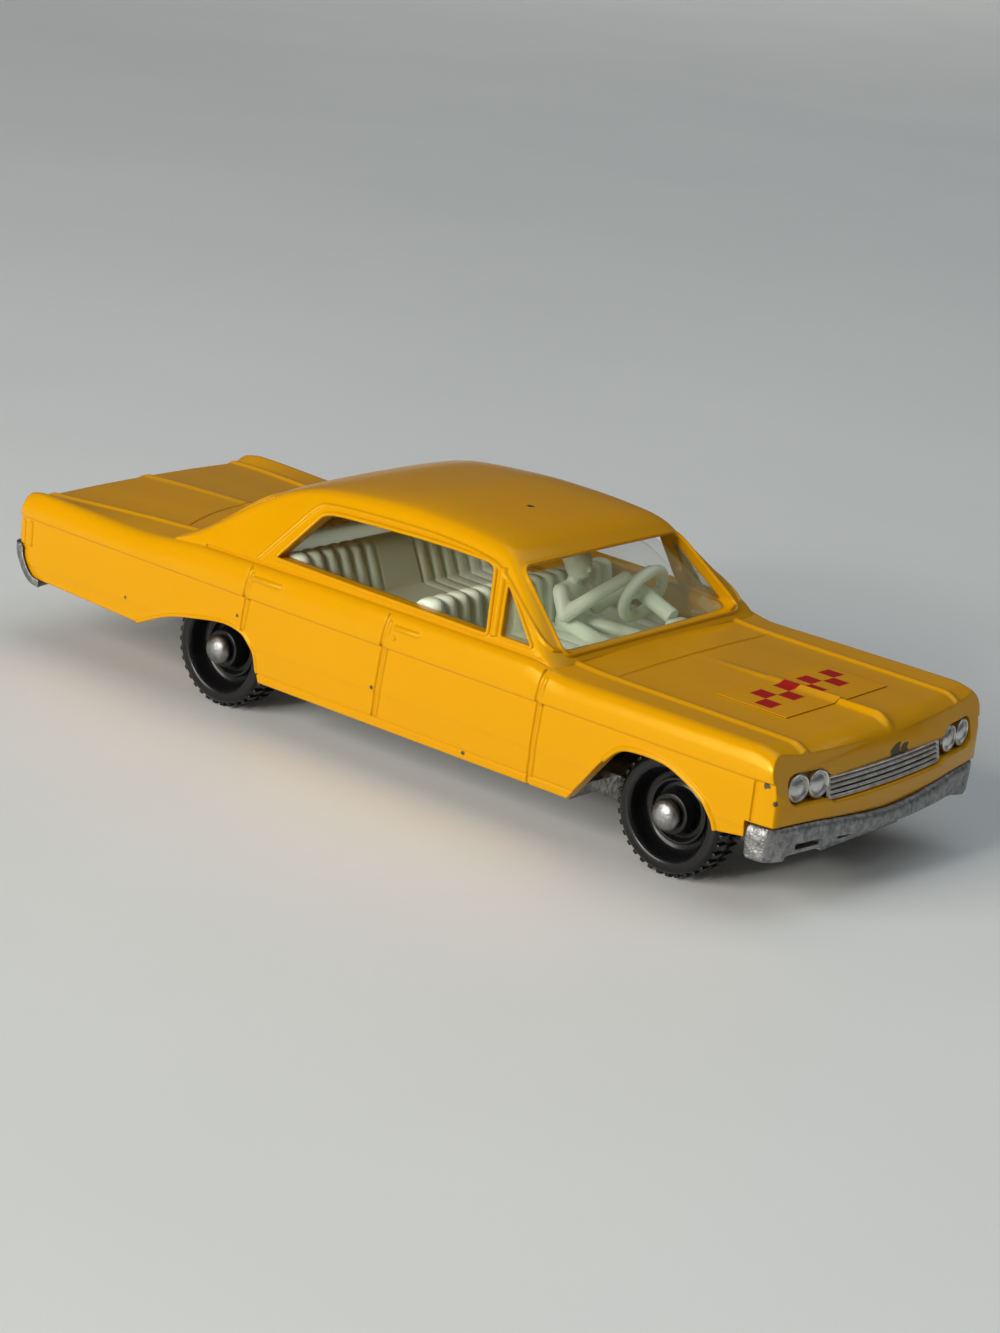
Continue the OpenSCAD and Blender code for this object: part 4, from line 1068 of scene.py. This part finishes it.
# %% Benches
BENCH_W, ROLLS, ROLL_STEPS, LEAN = 11.0, 15, 10, 1.08
PITCH = 2 * BENCH_W / ROLLS
SEAT_Z, BACK_H = 2.4, 3.7
bench_line = rounded([
    (LEAN + .1, 0, .1), (.15, 5.75, .5), (.75, 6.12, .4), (1.6, 5.95, .5), (2.42, 2.35, .4),
    (8.1, 2.2, .5), (8.53, 1.7, .4), (8.45, 0, .1)], 4, True)


def swell(x, z):
    """How far a point of the outline goes out with a roll: forwards on the back, upwards on the seat."""
    if z > SEAT_Z:
        return min(1.0, (z - 2.0) / 1.2) * (1.0 if x > .7 else .25), .4 if z > 5.6 else 0.0
    return (.3, .35) if x < 3.2 and z > 1.9 else (0.0, .4 if z > 1.9 and x < 8.4 else 0.0)


def bench(name, seat_x, plain, tilt):
    rings = []
    for k in range(ROLLS * ROLL_STEPS + 1):
        place = k / ROLL_STEPS
        roll = min(int(place), ROLLS - 1)
        bare = plain and abs(roll - ROLLS // 2) < 2
        out = .8 if bare else abs(math.sin(math.pi * place)) ** .55
        y = -BENCH_W + PITCH * place
        ring = []
        for x, z in bench_line:
            ahead, up = swell(x, z)
            back = tilt * max(0, z - SEAT_Z) / BACK_H
            ring.append((seat_x + x - back + ahead * (out - .3) * .7, y,
                         FLOOR_TOP + .02 + z + up * (out - .6) * .6))
        rings.append(ring)
    return skin(name, rings)


SEAT_FRONT, SEAT_REAR = 2.54, -10.17
dress(bench("front_seat", SEAT_FRONT, False, 0), ivory, ["front_bench"], 50)
dress(bench("rear_seat", SEAT_REAR, True, 1.1), ivory, ["rear_bench"], 50)

# %% [markdown]
# The driver is a small moulded figure, all ivory, with its arms at the wheel. Spheres and tapered limbs
# are joined, and a voxel remesh melts them together as the mould did. The head has only a plain nose, chin
# and hair line of its own.

# %% Driver
RING = Vector((10.9, 6.5, 13.7))
DRIVER = Vector((6.15, 3.6, 9.9))
FIGURE = [
    ((.2, 0, 1.0), (1.0, 1.5, .85)), ((.05, 0, 2.2), (.95, 1.5, 1.5)), ((0, 0, 3.3), (.9, 1.75, .9)),
    ((.33, 0, 5.6), (1.15, .98, 1.3)), ((.75, 0, 4.9), (.7, .7, .55)), ((1.45, 0, 5.35), (.25, .17, .3)),
    ((.15, 0, 5.95), (1.2, 1.08, 1.05))]
VOXEL = .11


def ball(at, size):
    sphere = added(bpy.ops.mesh.primitive_uv_sphere_add, segments=24, ring_count=14, radius=1)
    return sized(sphere, Vector(size) * MM, Vector(at) * MM)


def limb(a, b, thick, thin, steps=18):
    return [ball(Vector(a).lerp(Vector(b), k / steps), [thick + (thin - thick) * k / steps] * 3)
            for k in range(steps + 1)]


parts = [ball(DRIVER + Vector(at), size) for at, size in FIGURE]
parts += limb(DRIVER + Vector((.1, 0, 3.6)), DRIVER + Vector((.25, 0, 4.8)), .6, .55)
for side in (-1, 1):
    hip, knee, foot, shoulder, elbow = [DRIVER + Vector((x, side * y, z)) for x, y, z in (
        (.1, .69, .85), (5.29, 2.0, .66), (6.0, 2.07, -1.3), (.1, 1.5, 3.4), (1.1, 2.0, 1.9))]
    hand = RING + Vector((-.75, side * 1.6, 1.3))
    parts += limb(hip, knee, .68, .56) + limb(knee, foot, .55, .5) + limb(shoulder, elbow, .66, .62)
    parts += limb(elbow, hand, .62, .52) + [ball(foot + Vector((.35, 0, -.05)), (.7, .42, .4))]
driver = join("driver", parts)
driver.data.remesh_voxel_size = VOXEL * MM
alone(driver)
bpy.ops.object.voxel_remesh()
modified(driver, "SMOOTH", iterations=6)
dress(driver, ivory, ["driver_figure"], 60)

# %% [markdown]
# The steering wheel has a thick rim, two spokes and a stout column down to the dashboard. The rim is a
# bent tube, and all of it is turned to face the driver.

# %% Steering wheel
COLUMN_LEAN, RIM_R, RIM_STEPS = math.radians(70), 2.15, 48
angles = [2 * math.pi * k / RIM_STEPS for k in range(RIM_STEPS)]
rim_path = [(RIM_R * math.cos(a), RIM_R * math.sin(a), 0) for a in angles]
steering = join("steering", [
    tube("rim", rim_path, .45, True, 6),
    tube("column", [(0, 0, .3), (0, 0, .2), (0, 0, -3.2)], .64, False, 6),
    tube("spoke", [(0, -2.1, 0), (0, -.6, .05), (0, .6, .05), (0, 2.1, 0)], .28, False, 4)])
moved(steering, shift(*RING) @ Matrix.Rotation(-COLUMN_LEAN, 4, "Y"))
dress(steering, ivory, ["steering_wheel"], 50)

# %% [markdown]
# ## The clear moulding
# Windscreen, roof web and rear screen are one clear piece that follows the roof inside, with small panes
# behind the vent windows, three stacked in each to make the vent glass paler: a painted reflection. Alpha
# lets the cabin show through, and the shader keeps its gloss.

# %% Glazing
OUTSIDE, INSIDE, SCREEN_STEPS, EDGE_POINTS = 1.08, 1.68, 80, 4
PANE = [(.85, .05), (.948, .05), (.858, .48), (.838, .555), (.82, .57)]
rings = []
for k in range(SCREEN_STEPS + 1):
    t = .03 + .94 * k / SCREEN_STEPS
    top, low = [mirrored(house_x(t), roof_half(t, inset)[EDGE_POINTS:]) for inset in (OUTSIDE, INSIDE)]
    rings.append(top + [(x, -y, z) for x, y, z in low])
glazing = [skin("screens", rings)]
pane_line = window_line(PANE, 2, .2)
for side in (-1, 1):
    # Three stacked panes per vent window make its glass paler and less clear: a painted reflection.
    for sheen_layer in (.4, .6, .8):
        rings = [[(x, side * (house_y(z) - sheen_layer - gap), z) for x, z in pane_line] for gap in (0, .15)]
        glazing.append(skin("vent_pane", rings))
glazing = join("glazing", glazing)
dress(glazing, clear, ["window_glazing"])

# %% [markdown]
# ## Wheels and axles
# The wheel is turned: an outline is spun round the axle, with a deep dish, a ring and a hub. The tread is
# a row of lugs on each shoulder. One lug is a bevelled cube, copied round, and each wheel gets its own
# mesh.

# %% Wheel
LUGS, LUG_TOP, WHEEL_Y = 36, 4.69, 8.5
AXLES = (("front", FRONT_X), ("rear", REAR_X))
wheel_line = [
    (.66, .05), (1.9, 0), (3.9, 0), (4.2, .06), (4.4, .25), (4.45, .5), (4.45, 2.5), (4.4, 2.75),
    (4.28, 2.92), (4.1, 3.0), (3.65, 3.0), (3.5, 2.96), (3.38, 2.8), (3.28, 2.4), (3.1, 1.75),
    (2.98, 1.5), (2.85, 1.4), (2.55, 1.36), (2.5, 1.4), (2.48, 1.66), (2.42, 1.74), (2.26, 1.74),
    (2.2, 1.66), (2.14, 1.3), (2.05, 1.22), (1.85, 1.22), (1.72, 1.3), (1.64, 1.6), (1.56, 2.5),
    (1.48, 2.66), (1.36, 2.7), (.66, 2.7), (.66, .05)]
wheel = spun("wheel", wheel_line, 96)
lug = block("lug", (-.2, 0, 4.3), (.2, .95, LUG_TOP), .07, 2)
lugs = []
for k in range(LUGS):
    for y in (.2, 1.75):
        turn = 2 * math.pi * (k + (.5 if y > 1 else 0)) / LUGS
        lugs.append(copied(lug, "lug", Matrix.Rotation(turn, 4, "Y") @ shift(0, y, 0)))
bpy.data.objects.remove(lug)
wheel = join("wheel", [wheel] + lugs)
for end, x in AXLES:
    for hand, side in (("left", 1), ("right", -1)):
        name = f"wheel_{end}_{hand}"
        turned = shift(x, side * WHEEL_Y, WHEEL_R) @ Matrix.Rotation(0 if side > 0 else math.pi, 4, "Z")
        dress(copied(wheel, f"tyre_{end}_{hand}", turned), black, [name], 40, name)
bpy.data.objects.remove(wheel)

# %% Axles
HEAD_Y = 11.5
HEAD = [
    (0, .8), (.3, .785), (.6, .72), (.85, .6), (1.05, .42), (1.16, .24), (1.2, .1), (1.18, .02), (.6, .0)]
half_line = [(r, HEAD_Y + h) for r, h in HEAD]
axle_line = half_line + [(r, -y) for r, y in reversed(half_line)]
for end, x in AXLES:
    rod = moved(spun(f"rod_{end}", axle_line, 48), shift(x, 0, WHEEL_R))
    dress(rod, steel, [f"{end}_axle"], 50, f"{end}_axle")

# %% [markdown]
# ## Pieces that stay as they are
# The base plate is a plain casting, so its solid is copied and only narrowed behind the rear wheels, where
# the real one can't be seen. The rivets stay as they are and take the bare metal finish.

# %% Base and rivets
base = copied(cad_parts["base_plate"], "base", Matrix())
for y0, y1 in ((-14, -4.6), (4.6, 14)):
    carve(base, block("trim", (-32, y0, 2), (-21.6, y1, 9), .3))
dress(base, zinc, ["base_plate"])
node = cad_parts["rivets"]
node.data.materials.clear()
node.data.materials.append(zinc)
print("the rivets keep their solid, in", zinc.name)
